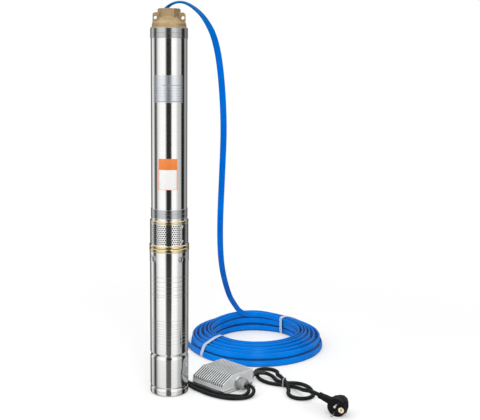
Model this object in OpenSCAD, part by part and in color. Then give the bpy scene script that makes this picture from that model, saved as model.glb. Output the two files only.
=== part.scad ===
// Borehole submersible pump: multistage pump end over a canned motor,
// with its drop cable, cable coil, finned control box, mains lead and plug.
// Millimetres. The pump stands on z = 0 with its axis on Z, front towards -Y.

/* [Pump end] */
// Outer diameter of the polished pump tube
tube_od = 71; // [70.5:0.1:71.4]
// Wall of the pump tube
tube_wall = 1.5; // [1.3:0.1:1.7]
// Number of pump stages stacked in the tube
stages = 13; // [8:1:13]
// Pitch of one pump stage
stage_pitch = 23.8; // [22:0.1:23.8]
// Diameter of one impeller
impeller_d = 56; // [50:1:58]
// Number of vanes in one impeller
impeller_vanes = 6; // [4:1:8]

/* [Discharge head] */
// Across corners of the hexagon on the discharge head
head_hex_ac = 44; // [43:0.5:46]
// Bore of the discharge thread at its crests
outlet_bore = 30.3; // [29.8:0.1:30.8]
// Height of the top of the discharge head
head_top = 765; // [763:1:768]
// Diameter of the rope hole in each lug
lug_hole_d = 6.6; // [6:0.1:7]
// Distance of each rope hole from the pump axis
lug_hole_x = 26.5; // [26:0.1:27]
// Thickness of the rope lugs
lug_t = 8; // [6:0.5:10]
// Lift of the check valve
valve_lift = 8; // [5:0.5:8.5]

/* [Intake] */
// Outer diameter of the intake strainer
strainer_od = 76; // [75.6:0.1:76.2]
// Hole diameter of the strainer
strainer_hole_d = 3; // [2:0.1:3.2]
// Rows of holes in the strainer
strainer_rows = 10; // [6:1:10]
// Holes in one full row of the strainer
strainer_cols = 52; // [40:2:60]

/* [Motor] */
// Outer diameter of the motor shell
motor_od = 77; // [76.8:0.1:77.4]
// Outer diameter of the brass clamping rings
ring_od = 79.2; // [79:0.1:80]
// Outer diameter of the staked motor collar
collar_od = 78; // [77.8:0.1:78.6]
// Outer diameter of the rotor
rotor_od = 36.6; // [36:0.1:37]
// Diameter of the motor shaft
shaft_d = 14; // [13.9:0.01:14.05]

/* [Drop cable] */
// Width of the flat drop cable
flat_w = 12.8; // [12:0.1:13]
// Thickness of the flat drop cable
flat_t = 4.8; // [4.4:0.1:5]
// Outer radius of the cable coil
coil_ro = 157; // [154:1:157]
// Inner radius of the cable coil
coil_ri = 85; // [85:1:90]
// Height of the cable coil
coil_h = 41; // [36:1:42]

/* [Control box] */
// Length of the control box along its glands
box_u = 88; // [86:1:90]
// Depth of the control box along its fins
box_v = 88; // [86:1:90]
// Height of the control box over the fins
box_h = 37; // [36:1:39]
// Number of cooling fins
box_fins = 16; // [10:1:17]
// Thickness of one cooling fin
fin_t = 2; // [1.6:0.1:2.6]
// Diameter of the screw holes in the two ears
ear_hole_d = 4.8; // [4.2:0.1:5.2]

/* [Mains lead] */
// Diameter of the round mains lead
lead_d = 8; // [7.4:0.1:8]
// Diameter of each round pump lead
pair_d = 7.4; // [7:0.1:7.6]
// Diameter of the plug face
plug_d = 37; // [36:0.5:38]
// Diameter of the plug pins
pin_d = 4.8; // [4.6:0.1:5]

/* [Hidden] */
$fn = 72;

steel = [0.78, 0.79, 0.80];
satin = [0.66, 0.67, 0.68];
brass = [0.72, 0.60, 0.36];
black = [0.09, 0.09, 0.10];
blue = [0.06, 0.36, 0.85];
alu = [0.70, 0.71, 0.72];
white = [0.92, 0.92, 0.90];

tr = tube_od / 2;            // tube outer radius
ti = tr - tube_wall;         // tube inner radius
br = tr + 0.7;               // satin band radius
mr = motor_od / 2;           // motor shell radius
mi = mr - 1.2;               // motor shell inner radius
rr = ring_od / 2;
cr = collar_od / 2;
sr = strainer_od / 2;
si = sr - 0.8;
shr = shaft_d / 2;
z_stage0 = 373;
z_tube0 = 361.6;
z_tube1 = 728;
guard_a = 120;               // direction of the cable guard around the axis
seam_a = -41;                // direction of the strainer seam
gr0 = br;                    // inner radius of the guard
gr1 = br + 5.4;              // inner face of the guard's outer wall
zg = 717.5 + valve_lift;     // underside of the valve guide

// place things in the control box's own frame
module at_box() translate([108.6, 36, 0]) rotate([0, 0, -43.5]) children();
// place things in the plug's own frame: +X out of the face, -Y to the lead
module at_plug() translate([327.3, -131.8, 18.5]) rotate([0, 0, 243]) rotate([0, 5, 0]) rotate([-18, 0, 0]) children();
// radial placing around the pump axis
module radial(a, r, z) rotate([0, 0, a]) translate([r, 0, z]) rotate([0, 90, 0]) children();
module tube_ring(ro, ri, z0, z1) translate([0, 0, z0]) difference() {
  cylinder(r = ro, h = z1 - z0);
  translate([0, 0, -1]) cylinder(r = ri, h = z1 - z0 + 2);
}

// ---------- swept cables ----------
function unit(v) = v / norm(v);
function crp(a, b, c, d, t) = 0.5 * (2 * b + (c - a) * t + (2 * a - 5 * b + 4 * c - d) * t * t + (3 * b - a - 3 * c + d) * t * t * t);
function smooth(P, n) = concat([for (i = [0:len(P) - 2]) for (k = [0:n - 1])
  crp(P[max(i - 1, 0)], P[i], P[i + 1], P[min(i + 2, len(P) - 1)], k / n)], [P[len(P) - 1]]);
function tang(P, i) = unit(P[min(i + 1, len(P) - 1)] - P[max(i - 1, 0)]);
function side(T, W) = unit(W - (W * T) * T);
module sweep(P, W, prof, T0 = undef, T1 = undef) {
  n = len(P); m = len(prof);
  pts = [for (i = [0:n - 1])
    let (T = (i == 0 && !is_undef(T0)) ? unit(T0) : (i == n - 1 && !is_undef(T1)) ? unit(T1) : tang(P, i),
         X = side(T, W[i]), Y = cross(T, X))
    for (j = [0:m - 1]) P[i] + prof[j][0] * X + prof[j][1] * Y];
  faces = concat([[for (j = [0:m - 1]) j]], [[for (j = [m - 1:-1:0]) (n - 1) * m + j]],
    [for (i = [0:n - 2]) for (j = [0:m - 1]) [i * m + j, (i + 1) * m + j, (i + 1) * m + (j + 1) % m]],
    [for (i = [0:n - 2]) for (j = [0:m - 1]) [i * m + j, (i + 1) * m + (j + 1) % m, i * m + (j + 1) % m]]);
  polyhedron(points = pts, faces = faces, convexity = 10);
}
function round_prof(d, n = 8) = [for (k = [0:n - 1]) d / 2 * [cos(360 * k / n + 22.5), sin(360 * k / n + 22.5)]];
function flat_prof(w, t) = [[w / 2, -t / 5], [w / 2, t / 5], [w / 2 - t / 3, t / 2], [t / 3 - w / 2, t / 2],
  [-w / 2, t / 5], [-w / 2, -t / 5], [t / 3 - w / 2, -t / 2], [w / 2 - t / 3, -t / 2]];

// drop cable: from the guard over the head and down to the coil; second list: direction of its width
drop_P = [[-19.45, 33.69, 722], [-19, 33, 740], [-14.5, 31.5, 757], [-6, 30, 769], [5, 30, 776.5], [20, 30, 779.5], [35, 30, 775.5], [48.5, 31, 767],
  [61, 31.5, 755.5], [71, 32.5, 742], [80, 34, 726], [88, 37.5, 704], [95, 43, 671], [100, 50, 630], [103.5, 58, 582], [105, 69, 524],
  [103.5, 82, 468], [101, 100, 405], [98.5, 126, 337], [98, 158, 280], [100.5, 205, 221], [107, 265, 168], [115.5, 330, 121], [126, 385, 82],
  [141, 430, 56.5], [168, 450, 47], [200, 452, 40]];
drop_W = [[0.87, 0.5, 0], [0.85, 0.5, 0], [0.7, 0.65, 0.1], [0.5, 0.8, 0.3], [0.3, 0.9, 0.4], [0.2, 0.9, 0.5], [0.35, 0.75, 0.6], [0.55, 0.5, 0.65],
  [0.7, 0.3, 0.6], [0.8, 0.2, 0.5], [0.9, 0.1, 0.4], [0.95, 0.1, 0.3], [1, 0.1, 0.2], [1, 0.1, 0.1], [1, 0, 0], [1, 0, 0],
  [1, -0.1, 0], [1, -0.1, 0], [1, -0.1, 0], [1, -0.1, 0.1], [1, -0.1, 0.1], [1, -0.1, 0.2], [1, -0.2, 0.4], [0.8, -0.3, 0.7],
  [0.4, -0.3, 1], [0.1, -0.1, 1], [0, 0, 1]];
// short tail of the same cable from the coil to the joint behind the pump
tail_P = [[-14, 195, 12.3], [-15, 213, 11], [-19, 235, 8.5], [-25, 258, 7], [-31, 280, 7], [-35.5, 300, 7], [-36, 316, 7], [-31, 330, 7],
  [-21, 339, 7], [-8, 341.5, 7], [5, 336, 7], [13, 324, 7], [18, 308, 7], [22, 291, 7], [31, 272, 7]];
// pump leads: a pair from the front gland of the box to the joint
pair_a = [[160.9, -4.8, 15], [167, -10.6, 14.2], [171.5, -18, 12], [172, -28, 9], [167, -38.5, 6], [157, -46.5, 4.4], [143, -51, 4.2], [126, -51.5, 4.2],
  [108, -46, 4.2], [90, -35.5, 4.2], [74, -22, 4.2], [60.5, -7.5, 4.2], [50, 5, 4.2], [43, 15.5, 4.2], [35, 26, 4.2], [25, 40, 4.2],
  [9, 65, 5], [-8, 92, 8], [-16.4, 110, 11.5], [-18.4, 125, 12.3]];
pair_b = [[154.8, -11.2, 15], [159.5, -16, 14], [161, -22.5, 12], [158, -29.5, 9], [151, -35, 6.3], [140, -37.5, 4.4], [126, -36.5, 4.2], [103, -27.5, 4.2],
  [82.5, -10.5, 4.2], [64, 8, 4.2], [52, 19.5, 4.2], [42, 31, 4.2], [32.5, 46, 4.2], [17.5, 71, 5], [0.5, 96, 8], [-7.6, 112, 11.5],
  [-9.6, 125, 12.3]];
// mains lead: rear gland, three passes of the tied figure of eight, plug
mains_P = [[170, 68.7, 12], [175.5, 74.5, 12.3], [181.5, 80, 12.9], [188.5, 83.5, 12.8], [196, 83, 11.4], [203.5, 78.5, 9.2], [210, 71, 7], [216, 62, 5.2],
  [222.5, 54.2, 4.4], [230.5, 47, 4.2], [240, 41.5, 4.2], [256, 41, 4.2], [271, 36, 4.2], [282.5, 24, 4.2], [289.5, 7, 4.2], [291.5, -12, 4.2],
  [289, -31, 4.2], [280.5, -45, 4.2], [268, -50.5, 4.2], [255, -46.5, 4.2], [247, -34, 4.4], [244.3, -18, 6.2], [242.5, 0, 10], [240, 17, 12.9],
  [235.5, 35, 13.2], [230, 55, 12.9], [226.5, 75, 8.8], [223.8, 94, 4.6], [221.5, 108, 4.2], [216, 121, 4.2], [206, 129.5, 4.2], [195, 129.5, 4.2],
  [185.5, 122.5, 4.2], [181, 110, 4.2], [180.2, 94, 4.2], [182.5, 74, 4.2], [190.5, 55, 4.2], [204, 40.5, 4.2], [220, 32, 4.2], [236.5, 27, 4.2],
  [249, 20.5, 4.4], [257.5, 10, 6.5], [263.5, -6, 10.5], [267.5, -25, 15.5], [270, -44, 21], [272.5, -61, 26.7], [276.5, -77, 31.7], [283, -90, 34.7],
  [289, -97.4, 35], [296.6, -101.9, 32.9]];

// ================= motor =================
module motor_shell() color(steel) rotate_extrude($fn = 120) polygon([
  [mi - 0.8, 0.8], [mr - 0.6, 1.4], [mr, 3.2], [mr, 12], [mr - 1.5, 14], [mr - 1.5, 16], [mr, 18],
  [mr, 77], [mr - 1.9, 80.4], [mr - 1.9, 83.6], [mr, 87], [mr, 292],
  [mi, 292], [mi, 87.4], [mi - 1.9, 84], [mi - 1.9, 80], [mi, 76.6],
  [mi, 18.4], [mi - 1.5, 16.4], [mi - 1.5, 13.6], [mi, 11.6], [mi, 4], [mi - 0.8, 3]]);

module motor_collar() color(satin) difference() {
  tube_ring(cr, mr, 273.5, 294.2);
  for (a = [-147, -129, -54, -36, 36, 54, 129, 147])
    rotate([0, 0, a]) translate([cr + 7.6, 0, 285]) sphere(r = 8, $fn = 32);
}

module bottom_cap() color(black) rotate_extrude($fn = 120) polygon([
  [0, 0], [mi - 2.4, 0], [mi - 0.8, 1.2], [mi - 0.8, 3], [mi, 4], [mi, 11], [28, 11], [24, 8], [0, 8]]);

module diaphragm() color(black) rotate_extrude() polygon([
  [0, 20], [18, 20], [28, 11], [mi - 2.4, 11], [mi - 2.4, 13], [29, 13], [19, 22], [0, 22]]);

module lower_end_bell() color(satin) difference() {
  union() {
    translate([0, 0, 30]) cylinder(r = mi, h = 8);
    translate([0, 0, 30]) cylinder(r = 24, h = 42);
  }
  translate([0, 0, 36]) cylinder(r = 19, h = 21);
  translate([0, 0, 56]) cylinder(r = 10, h = 20);
  translate([0, 0, 28]) cylinder(r = 4, h = 10);
}

module thrust_pads() color(brass) for (k = [0:5]) rotate([0, 0, 60 * k])
  rotate_extrude(angle = 50) translate([7.5, 36]) square([9, 7.4]);

module motor_bushes() color(brass) {
  tube_ring(10, shr + 0.05, 57.2, 72);
  tube_ring(10, shr + 0.05, 258, 282);
}

module stator_core() color(satin) tube_ring(mi, rotor_od / 2 + 0.7, 105, 235);

module stator_windings() color([0.62, 0.30, 0.14]) for (z = [89.5, 235.1])
  rotate_extrude() translate([0, z]) polygon([[21, 3], [23, 0], [31, 0], [34, 3], [34, 12], [31, 15.3], [23, 15.3], [21, 12]]);

module upper_end_bell() color(brass) difference() {
  union() {
    translate([0, 0, 258]) cylinder(r = mi, h = 36.4);
    rotate_extrude($fn = 120) polygon([[0, 294.2], [rr - 0.6, 294.2], [rr, 295.2], [rr, 300.2], [rr - 1, 301.4], [0, 301.4]]);
  }
  translate([0, 0, 256]) cylinder(r = 10, h = 30);
  translate([0, 0, 283]) cylinder(r = 14, h = 20);
  tube_ring(34, 18, 256, 284);
  for (k = [0:3]) rotate([0, 0, 75 + 90 * k]) translate([30, 0, 288]) cylinder(r = 3, h = 15);
}

module seal_seat() color(white) tube_ring(14, shr + 1, 283, 288);

module lead_connector() color(black) rotate([0, 0, guard_a]) translate([27, 0, 301.4]) cylinder(r = 6.4, h = 10.6);

module flange_studs() color(steel) for (k = [0:3]) rotate([0, 0, 75 + 90 * k]) translate([30, 0, 288]) cylinder(r = 3, h = 27);

module flange_nuts() color(steel) for (k = [0:3]) rotate([0, 0, 75 + 90 * k]) translate([30, 0, 308.3]) difference() {
  cylinder(r = 5.7, h = 5, $fn = 6);
  translate([0, 0, -1]) cylinder(r = 3, h = 8);
}

// ================= intake =================
module inlet_bracket() color(brass) difference() {
  union() {
    rotate_extrude($fn = 120) polygon([[22, 302.2], [rr - 0.8, 302.2], [rr, 303.2], [rr, 306.8], [rr - 1.4, 308.3], [22, 308.3]]);
    for (a = [30, 210, 300]) rotate([0, 0, a]) translate([28, -5, 308]) cube([8, 10, 43.2]);
    for (a = [guard_a - 23, guard_a + 23]) rotate([0, 0, a]) translate([28, -2.4, 308]) cube([7.6, 4.8, 43.2]);
    rotate_extrude($fn = 120) polygon([[26, 351], [sr - 0.3, 351], [sr + 0.1, 351.8], [sr + 0.1, 355.9], [sr - 0.7, 356.9], [br - 0.4, 356.9], [br - 0.4, 361.6],
      [ti, 361.6], [ti, 372.8], [31, 372.8], [26, 366]]);
  }
  for (k = [0:3]) rotate([0, 0, 75 + 90 * k]) translate([30, 0, 300]) cylinder(r = 3.1, h = 10);
  rotate([0, 0, guard_a]) translate([27, 0, 300]) cylinder(r = 6.6, h = 10);
  rotate([0, 0, guard_a - 27]) rotate_extrude(angle = 54) translate([gr0, 350]) square([6, 9]);
  for (s = [-1, 1]) radial(guard_a + s * 19, 34, 354.8) cylinder(r = 1.5, h = 6, $fn = 24);
}

row_dz = 3.95;
module strainer() color(steel) difference() {
  rotate([0, 0, guard_a + 27]) rotate_extrude(angle = 306, $fn = 120) translate([si, 308.4]) square([sr - si, 42.5]);
  for (i = [0:strainer_rows - 1]) for (k = [0:strainer_cols - 1])
    let (a = 360 * (k + 0.5 * (i % 2)) / strainer_cols, d = abs(((a - guard_a + 540) % 360) - 180), s = abs(((a - seam_a + 540) % 360) - 180))
      if (d > 31 && s > 8) radial(a, si - 0.5, 329.7 + row_dz * (i - (strainer_rows - 1) / 2)) cylinder(d = strainer_hole_d, h = 2, $fn = 24);
  for (z = [315.5, 345]) radial(seam_a, si - 1, z) cylinder(r = 1.5, h = 3, $fn = 24);
}

// one pan head screw, head seated at the given radius
module panel_screw(r, l) {
  translate([0, 0, -l]) cylinder(r = 1.5, h = l, $fn = 24);
  difference() {
    cylinder(r1 = 3, r2 = 2.4, h = 1.8, $fn = 24);
    translate([-2.6, -0.35, 1.2]) cube([5.2, 0.7, 1]);
  }
}
module panel_screws() color(steel) {
  for (z = [315.5, 345]) radial(seam_a, sr, z) panel_screw(sr, 3);
  for (s = [-1, 1]) radial(guard_a + s * 19, gr0 + 1, 354.8) panel_screw(gr0, 3);
  for (s = [-1, 1]) radial(guard_a + s * 19, gr0 + 1, 719) panel_screw(gr0, 3);
}

module cable_guard() color(steel) difference() {
  translate([0, 0, 309.2]) rotate([0, 0, guard_a]) linear_extrude(height = 412.8) union() {
    translate([gr1, -flat_w / 2 - 1.4]) square([1, flat_w + 2.8]);
    for (s = [-1, 1]) translate([gr0 - 0.1, s * (flat_w / 2 + 0.9) - 0.5]) square([gr1 - gr0 + 0.2, 1]);
    for (s = [-1, 1]) intersection() {
      difference() { circle(r = gr0 + 1, $fn = 120); circle(r = gr0, $fn = 120); }
      rotate([0, 0, s * 17.5]) polygon([[0, 0], [50, -6.4], [50, 6.4]]);
    }
  }
  for (s = [-1, 1]) for (z = [354.8, 719]) radial(guard_a + s * 19, gr0 - 2, z) cylinder(r = 1.5, h = 5, $fn = 24);
}

module motor_lead() color(blue) rotate([0, 0, guard_a]) {
  translate([20.8, -flat_w / 2, 312]) cube([gr0 + 5.1 - 20.8, flat_w, flat_t]);
  translate([gr0 + 0.3, -flat_w / 2, 312]) cube([flat_t, flat_w, 410]);
}

// ================= pump end =================
module guard_holes() for (s = [-1, 1]) radial(guard_a + s * 19, 30, 719) cylinder(r = 1.5, h = 8, $fn = 24);
module pump_tube() color(steel) difference() {
  tube_ring(tr, ti, z_tube0, z_tube1);
  guard_holes();
}
module upper_tube_band() color(satin) difference() {
  rotate_extrude($fn = 120) polygon([[tr, 708.7], [br - 0.3, 708.7], [br, 709.2], [br, 717.9], [br - 0.3, 718.2], [br - 0.3, 718.6], [br, 718.9], [br, 727.5], [br - 0.4, 728], [tr, 728]]);
  guard_holes();
}
module lower_tube_band() color(satin) rotate_extrude($fn = 120) polygon([
  [tr, z_tube0], [br - 0.4, z_tube0], [br, 362.1], [br, 370.2], [br - 0.3, 370.5], [br - 0.3, 370.9], [br, 371.2], [br, 378.8], [br - 0.4, 379.3], [tr, 379.3]]);

module diffusers() color([0.20, 0.20, 0.22]) for (k = [0:stages - 1]) translate([0, 0, z_stage0 + k * stage_pitch]) {
  difference() {
    cylinder(r = ti - 0.1, h = stage_pitch - 0.2);
    translate([0, 0, 2.2]) cylinder(r = ti - 1.9, h = stage_pitch);
    translate([0, 0, -1]) cylinder(r = 14, h = 5);
  }
  tube_ring(11.5, 9.5, 17, stage_pitch - 0.2);
  for (j = [0:5]) rotate([0, 0, 60 * j + 15]) translate([10.5, -0.9, 17]) cube([ti - 1 - 10.5 - 0.5, 1.8, stage_pitch - 17.2]);
}

module bearing_carrier() color([0.20, 0.20, 0.22]) difference() {
  union() {
    tube_ring(ti - 0.1, 30, 684, 698);
    translate([0, 0, 684]) cylinder(r = 13, h = 14);
    for (j = [0:2]) rotate([0, 0, 120 * j]) translate([12, -2.5, 684]) cube([19, 5, 12]);
  }
  translate([0, 0, 680]) cylinder(r = 9, h = 30);
}
module bearing_bush() color(black) tube_ring(9, 6.06, 684, 698);

// ================= check valve and head =================
module valve_seat() color(brass) difference() {
  union() {
    translate([0, 0, 699]) cylinder(r = ti - 0.1, h = 8);
    translate([0, 0, 706]) cylinder(r1 = 20, r2 = 17, h = 2.5);
  }
  translate([0, 0, 690]) cylinder(r = 15, h = 30);
}
module valve_poppet() color(white) union() {
  translate([0, 0, 711.5]) cylinder(r = 20, h = 4.5);
  translate([0, 0, 704]) cylinder(r = 11, h = 7.6);
  translate([0, 0, 715]) cylinder(r = 4, h = 22);
}
module valve_seal() color(black) tube_ring(19, 11, 709, 711.5);
module valve_guide() color(satin) difference() {
  union() {
    tube_ring(30, 27, zg, zg + 4.5);
    translate([0, 0, zg]) cylinder(r = 8, h = 10.5);
    for (j = [0:2]) rotate([0, 0, 120 * j + 30]) translate([7, -1.5, zg]) cube([21, 3, 4.5]);
  }
  translate([0, 0, 720]) cylinder(r = 4.06, h = 30);
}
module discharge_head() color(brass) difference() {
  union() {
    rotate_extrude($fn = 120) polygon([[0, 711], [ti, 711], [ti, 728], [tr, 728], [tr, 729], [33.4, 730], [33, 736], [32, 738], [21, 746.5], [19, 750], [0, 750]]);
    intersection() {
      translate([0, 0, 740]) cylinder(d = head_hex_ac, h = head_top - 740, $fn = 6);
      translate([0, 0, 740]) rotate_extrude($fn = 96) polygon([[0, 0], [26, 0], [26, head_top - 744.2], [20.2, head_top - 740], [0, head_top - 740]]);
    }
    for (s = [0, 180]) rotate([0, 0, s]) translate([0, lug_t / 2, 0]) rotate([90, 0, 0]) linear_extrude(height = lug_t) union() {
      translate([16, 733.5]) square([15.5, 19.3]);
      translate([16, 740]) square([lug_hole_x - 16, 17.8]);
      translate([lug_hole_x, 752.8]) circle(r = 5, $fn = 48);
    }
  }
  rotate_extrude($fn = 96) polygon([[0, 700], [30, 700], [30, 732], [outlet_bore / 2, 745.5], [outlet_bore / 2, head_top - 1.6], [outlet_bore / 2 + 1.7, head_top + 0.1], [0, head_top + 0.1]]);
  for (s = [-1, 1]) translate([s * lug_hole_x, 20, 748]) rotate([90, 0, 0]) cylinder(d = lug_hole_d, h = 40, $fn = 48);
}
module rating_plate() color([0.80, 0.80, 0.82]) rotate([0, 0, -90 - 52]) rotate_extrude(angle = 104, $fn = 120) translate([tr, 586.5]) square([0.2, 52.7]);
module colour_tag() color([0.95, 0.55, 0.15]) rotate([0, 0, -90 - 31]) rotate_extrude(angle = 62, $fn = 120) translate([tr, 419]) square([0.2, 60.6]);

// ================= turning parts =================
module motor_shaft() color(steel) translate([0, 0, 44]) cylinder(r = shr, h = 286);
module rotor_core() color(satin) {
  tube_ring(rotor_od / 2, shr, 100, 240);
  tube_ring(rotor_od / 2 - 1.2, shr, 94, 100.01);
  tube_ring(rotor_od / 2 - 1.2, shr, 239.99, 246);
}
module thrust_disc() color(steel) tube_ring(17, shr, 44, 51);
module seal_ring() color(black) {
  tube_ring(11.5, shr, 288.5, 292);
  tube_ring(10, shr, 291.9, 300);
}
module sand_slinger() color(black) rotate_extrude() polygon([[shr, 303], [16, 302.6], [16, 304.2], [10, 306], [10, 309.5], [shr, 309.5]]);
module shaft_coupling() color(steel) difference() {
  translate([0, 0, 312]) cylinder(r = 12.5, h = 36);
  translate([0, 0, 311]) cylinder(r = shr, h = 19);
  translate([0, 0, 329]) cylinder(r = 5.77, h = 20, $fn = 6);
}
module pump_shaft() color(steel) {
  translate([0, 0, 330]) cylinder(r = 5.77, h = 353, $fn = 6);
  translate([0, 0, 682.9]) cylinder(r = 6, h = 13.6);
}
module impeller() difference() {
  union() {
    translate([0, 0, 3.4]) cylinder(r = 8, h = 12);
    translate([0, 0, 11.6]) cylinder(r = impeller_d / 2, h = 1.8);
    tube_ring(impeller_d / 2, 13.4, 4.4, 6);
    for (j = [0:impeller_vanes - 1]) rotate([0, 0, 360 / impeller_vanes * j]) translate([7, 0, 5]) rotate([0, 0, 22]) cube([impeller_d / 2 - 8.5, 1.5, 7]);
  }
  translate([0, 0, 0]) cylinder(r = 5.77, h = 20, $fn = 6);
}
module impellers() color([0.85, 0.84, 0.78]) for (k = [0:stages - 1]) translate([0, 0, z_stage0 + k * stage_pitch]) impeller();

// ================= control box =================
module box_prism(u, p) translate([-u / 2, 0, 0]) rotate([90, 0, 90]) linear_extrude(height = u) polygon(p);
bv = box_v / 2;
bu = box_u / 2;
module box_housing() color(alu) at_box() difference() {
  union() {
    box_prism(box_u, [[-bv, 7], [-bv, 19], [-17.6, box_h - 4.2], [-15.6, box_h - 1.1], [bv, box_h - 1.1], [bv, 7]]);
    for (k = [0:box_fins - 1]) translate([-bu + fin_t / 2 + (box_u - fin_t) * k / (box_fins - 1), 0, 0])
      box_prism(fin_t, [[-bv, 14], [-bv, 22.6], [-17.6, box_h - 0.8], [-15.6, box_h], [bv, box_h], [bv, 14]]);
  }
  difference() {
    box_prism(box_u - 6, [[3 - bv, 6], [3 - bv, 16.6], [-16.2, box_h - 7], [bv - 3, box_h - 6], [bv - 3, 6]]);
    for (s = [-1, 1]) for (t = [-1, 1]) translate([s * (bu - 6), t * (bv - 6), 5]) cylinder(r = 4.6, h = 11);
  }
  for (s = [-1, 1]) for (t = [-1, 1]) translate([s * (bu - 6), t * (bv - 6), 5]) cylinder(r = 2, h = 10, $fn = 32);
  translate([bu - 5, 2, 16]) rotate([0, 90, 0]) cylinder(r = 8, h = 10);
  translate([22, bv - 5, 12]) rotate([-90, 0, 0]) cylinder(r = 4.4, h = 10);
}
module box_base() color(alu) at_box() difference() {
  union() {
    translate([-bu, -bv, 0]) cube([box_u, box_v, 6]);
    for (s = [0, 180]) rotate([0, 0, s]) {
      translate([bu - 1, 27, 0]) cube([bu > 0 ? 7 : 0, 14, 4]);
      translate([50, 34, 0]) cylinder(r = 7, h = 4);
    }
  }
  for (s = [0, 180]) rotate([0, 0, s]) translate([50, 34, -1]) cylinder(d = ear_hole_d, h = 8, $fn = 48);
  for (s = [-1, 1]) for (t = [-1, 1]) translate([s * (bu - 6), t * (bv - 6), -1]) {
    cylinder(r = 2, h = 9, $fn = 32);
    cylinder(r = 4.2, h = 4.2, $fn = 32);
  }
}
module box_gasket() color(black) at_box() difference() {
  translate([-bu + 0.4, -bv + 0.4, 6]) cube([box_u - 0.8, box_v - 0.8, 1]);
  translate([-bu + 2.6, -bv + 2.6, 5]) cube([box_u - 5.2, box_v - 5.2, 3]);
}
module box_screws() color(steel) at_box() for (s = [-1, 1]) for (t = [-1, 1]) translate([s * (bu - 6), t * (bv - 6), 0]) difference() {
  union() {
    translate([0, 0, 0.6]) cylinder(r = 3.6, h = 2.6, $fn = 32);
    translate([0, 0, 3.1]) cylinder(r = 2, h = 11, $fn = 32);
  }
  translate([0, 0, 0]) cylinder(r = 1.7, h = 2, $fn = 6);
}
module run_capacitor() color([0.84, 0.84, 0.82]) at_box() translate([-34, 16, 18.4]) rotate([0, 90, 0]) cylinder(r = 12, h = 62);
module terminal_block() color([0.25, 0.45, 0.30]) at_box() difference() {
  translate([-30, -28, 6]) cube([52, 15, 12]);
  for (k = [0:5]) translate([-25.5 + 8.6 * k, -20.5, 10]) cylinder(r = 2.2, h = 10, $fn = 24);
}
module gland_bodies() color(alu) at_box() {
  translate([bu, 2, 16]) rotate([0, 90, 0]) {
    translate([0, 0, -4]) cylinder(r = 8, h = 5);
    cylinder(r = 13.4, h = 4.5, $fn = 6);
    translate([0, 0, 4.4]) cylinder(r = 10.6, h = 7.4);
  }
  translate([22, bv, 12]) rotate([-90, 0, 0]) {
    translate([0, 0, -4]) cylinder(r = 4.4, h = 5);
    cylinder(r = 11, h = 4.5, $fn = 6);
    translate([0, 0, 4.4]) cylinder(r = 8.6, h = 7.4);
  }
}
module gland_nuts() color(alu) at_box() {
  translate([bu, 2, 16]) rotate([0, 90, 0]) {
    translate([0, 0, 11.8]) cylinder(r = 12, h = 5.2, $fn = 12);
    translate([0, 0, 16.9]) cylinder(r1 = 11, r2 = 9.2, h = 5.1);
  }
  translate([22, bv, 12]) rotate([-90, 0, 0]) {
    translate([0, 0, 11.8]) cylinder(r = 10, h = 5.2, $fn = 12);
    translate([0, 0, 16.9]) cylinder(r1 = 9, r2 = 6.4, h = 5.1);
  }
}

// ================= cables and plug =================
module drop_cable() color(blue) let (P = smooth(drop_P, 2), W = smooth(drop_W, 2)) sweep(P, W, flat_prof(flat_w, flat_t), T0 = [0, 0, 1]);
module cable_coil() color(blue) translate([182, 318, 0]) rotate_extrude($fn = 96) polygon([
  [coil_ri, 5], [coil_ri + 4, 1.6], [coil_ro - 4, 1.6], [coil_ro, 5], [coil_ro, coil_h - 4], [coil_ro - 5, coil_h], [coil_ri + 6, coil_h], [coil_ri, coil_h - 6]]);
module coil_ties() color(white) translate([182, 318, 0]) for (a = [219, 48]) rotate([0, 0, a]) translate([0, 3, 0]) rotate([90, 0, 0]) linear_extrude(height = 6) difference() {
  translate([coil_ri - 1.6, 0.2]) square([coil_ro - coil_ri + 3.2, coil_h + 1.4]);
  translate([coil_ri - 0.4, 1.4]) square([coil_ro - coil_ri + 0.8, coil_h - 1]);
}
module cable_tail() color(blue) let (P = smooth(tail_P, 2)) sweep(P, [for (p = P) [0, 0, 1]], flat_prof(flat_w, flat_t), T0 = [0, 1, 0]);
module cable_joint() color(black) translate([-14, 125, 12.3]) rotate([-90, 0, 0]) {
  cylinder(r1 = 9.6, r2 = 12, h = 8);
  translate([0, 0, 7.9]) cylinder(r = 12, h = 54.2);
  translate([0, 0, 62]) cylinder(r1 = 12, r2 = 8.6, h = 8);
}
module pump_leads() color(black) for (Q = [pair_a, pair_b]) let (P = smooth(Q, 1))
  sweep(P, [for (p = P) [0, 0, 1]], round_prof(pair_d), T0 = [0.725, -0.688, 0], T1 = [0, 1, 0]);
module mains_cord() color(black) let (P = smooth(mains_P, 1))
  sweep(P, [for (p = P) [0, 0, 1]], round_prof(lead_d), T0 = [0.688, 0.725, 0], T1 = [0.86, -0.408, -0.308]);
module cord_tie() color([0.75, 0.76, 0.76]) translate([236.5, 33.2, 0]) rotate([0, 0, -20]) rotate([90, 0, 90]) translate([0, 0, -1.7]) linear_extrude(height = 3.4) difference() {
  translate([-15.2, 0.1]) square([30.4, 18.6]);
  translate([-14.2, -1]) square([28.4, 18.7]);
}
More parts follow.
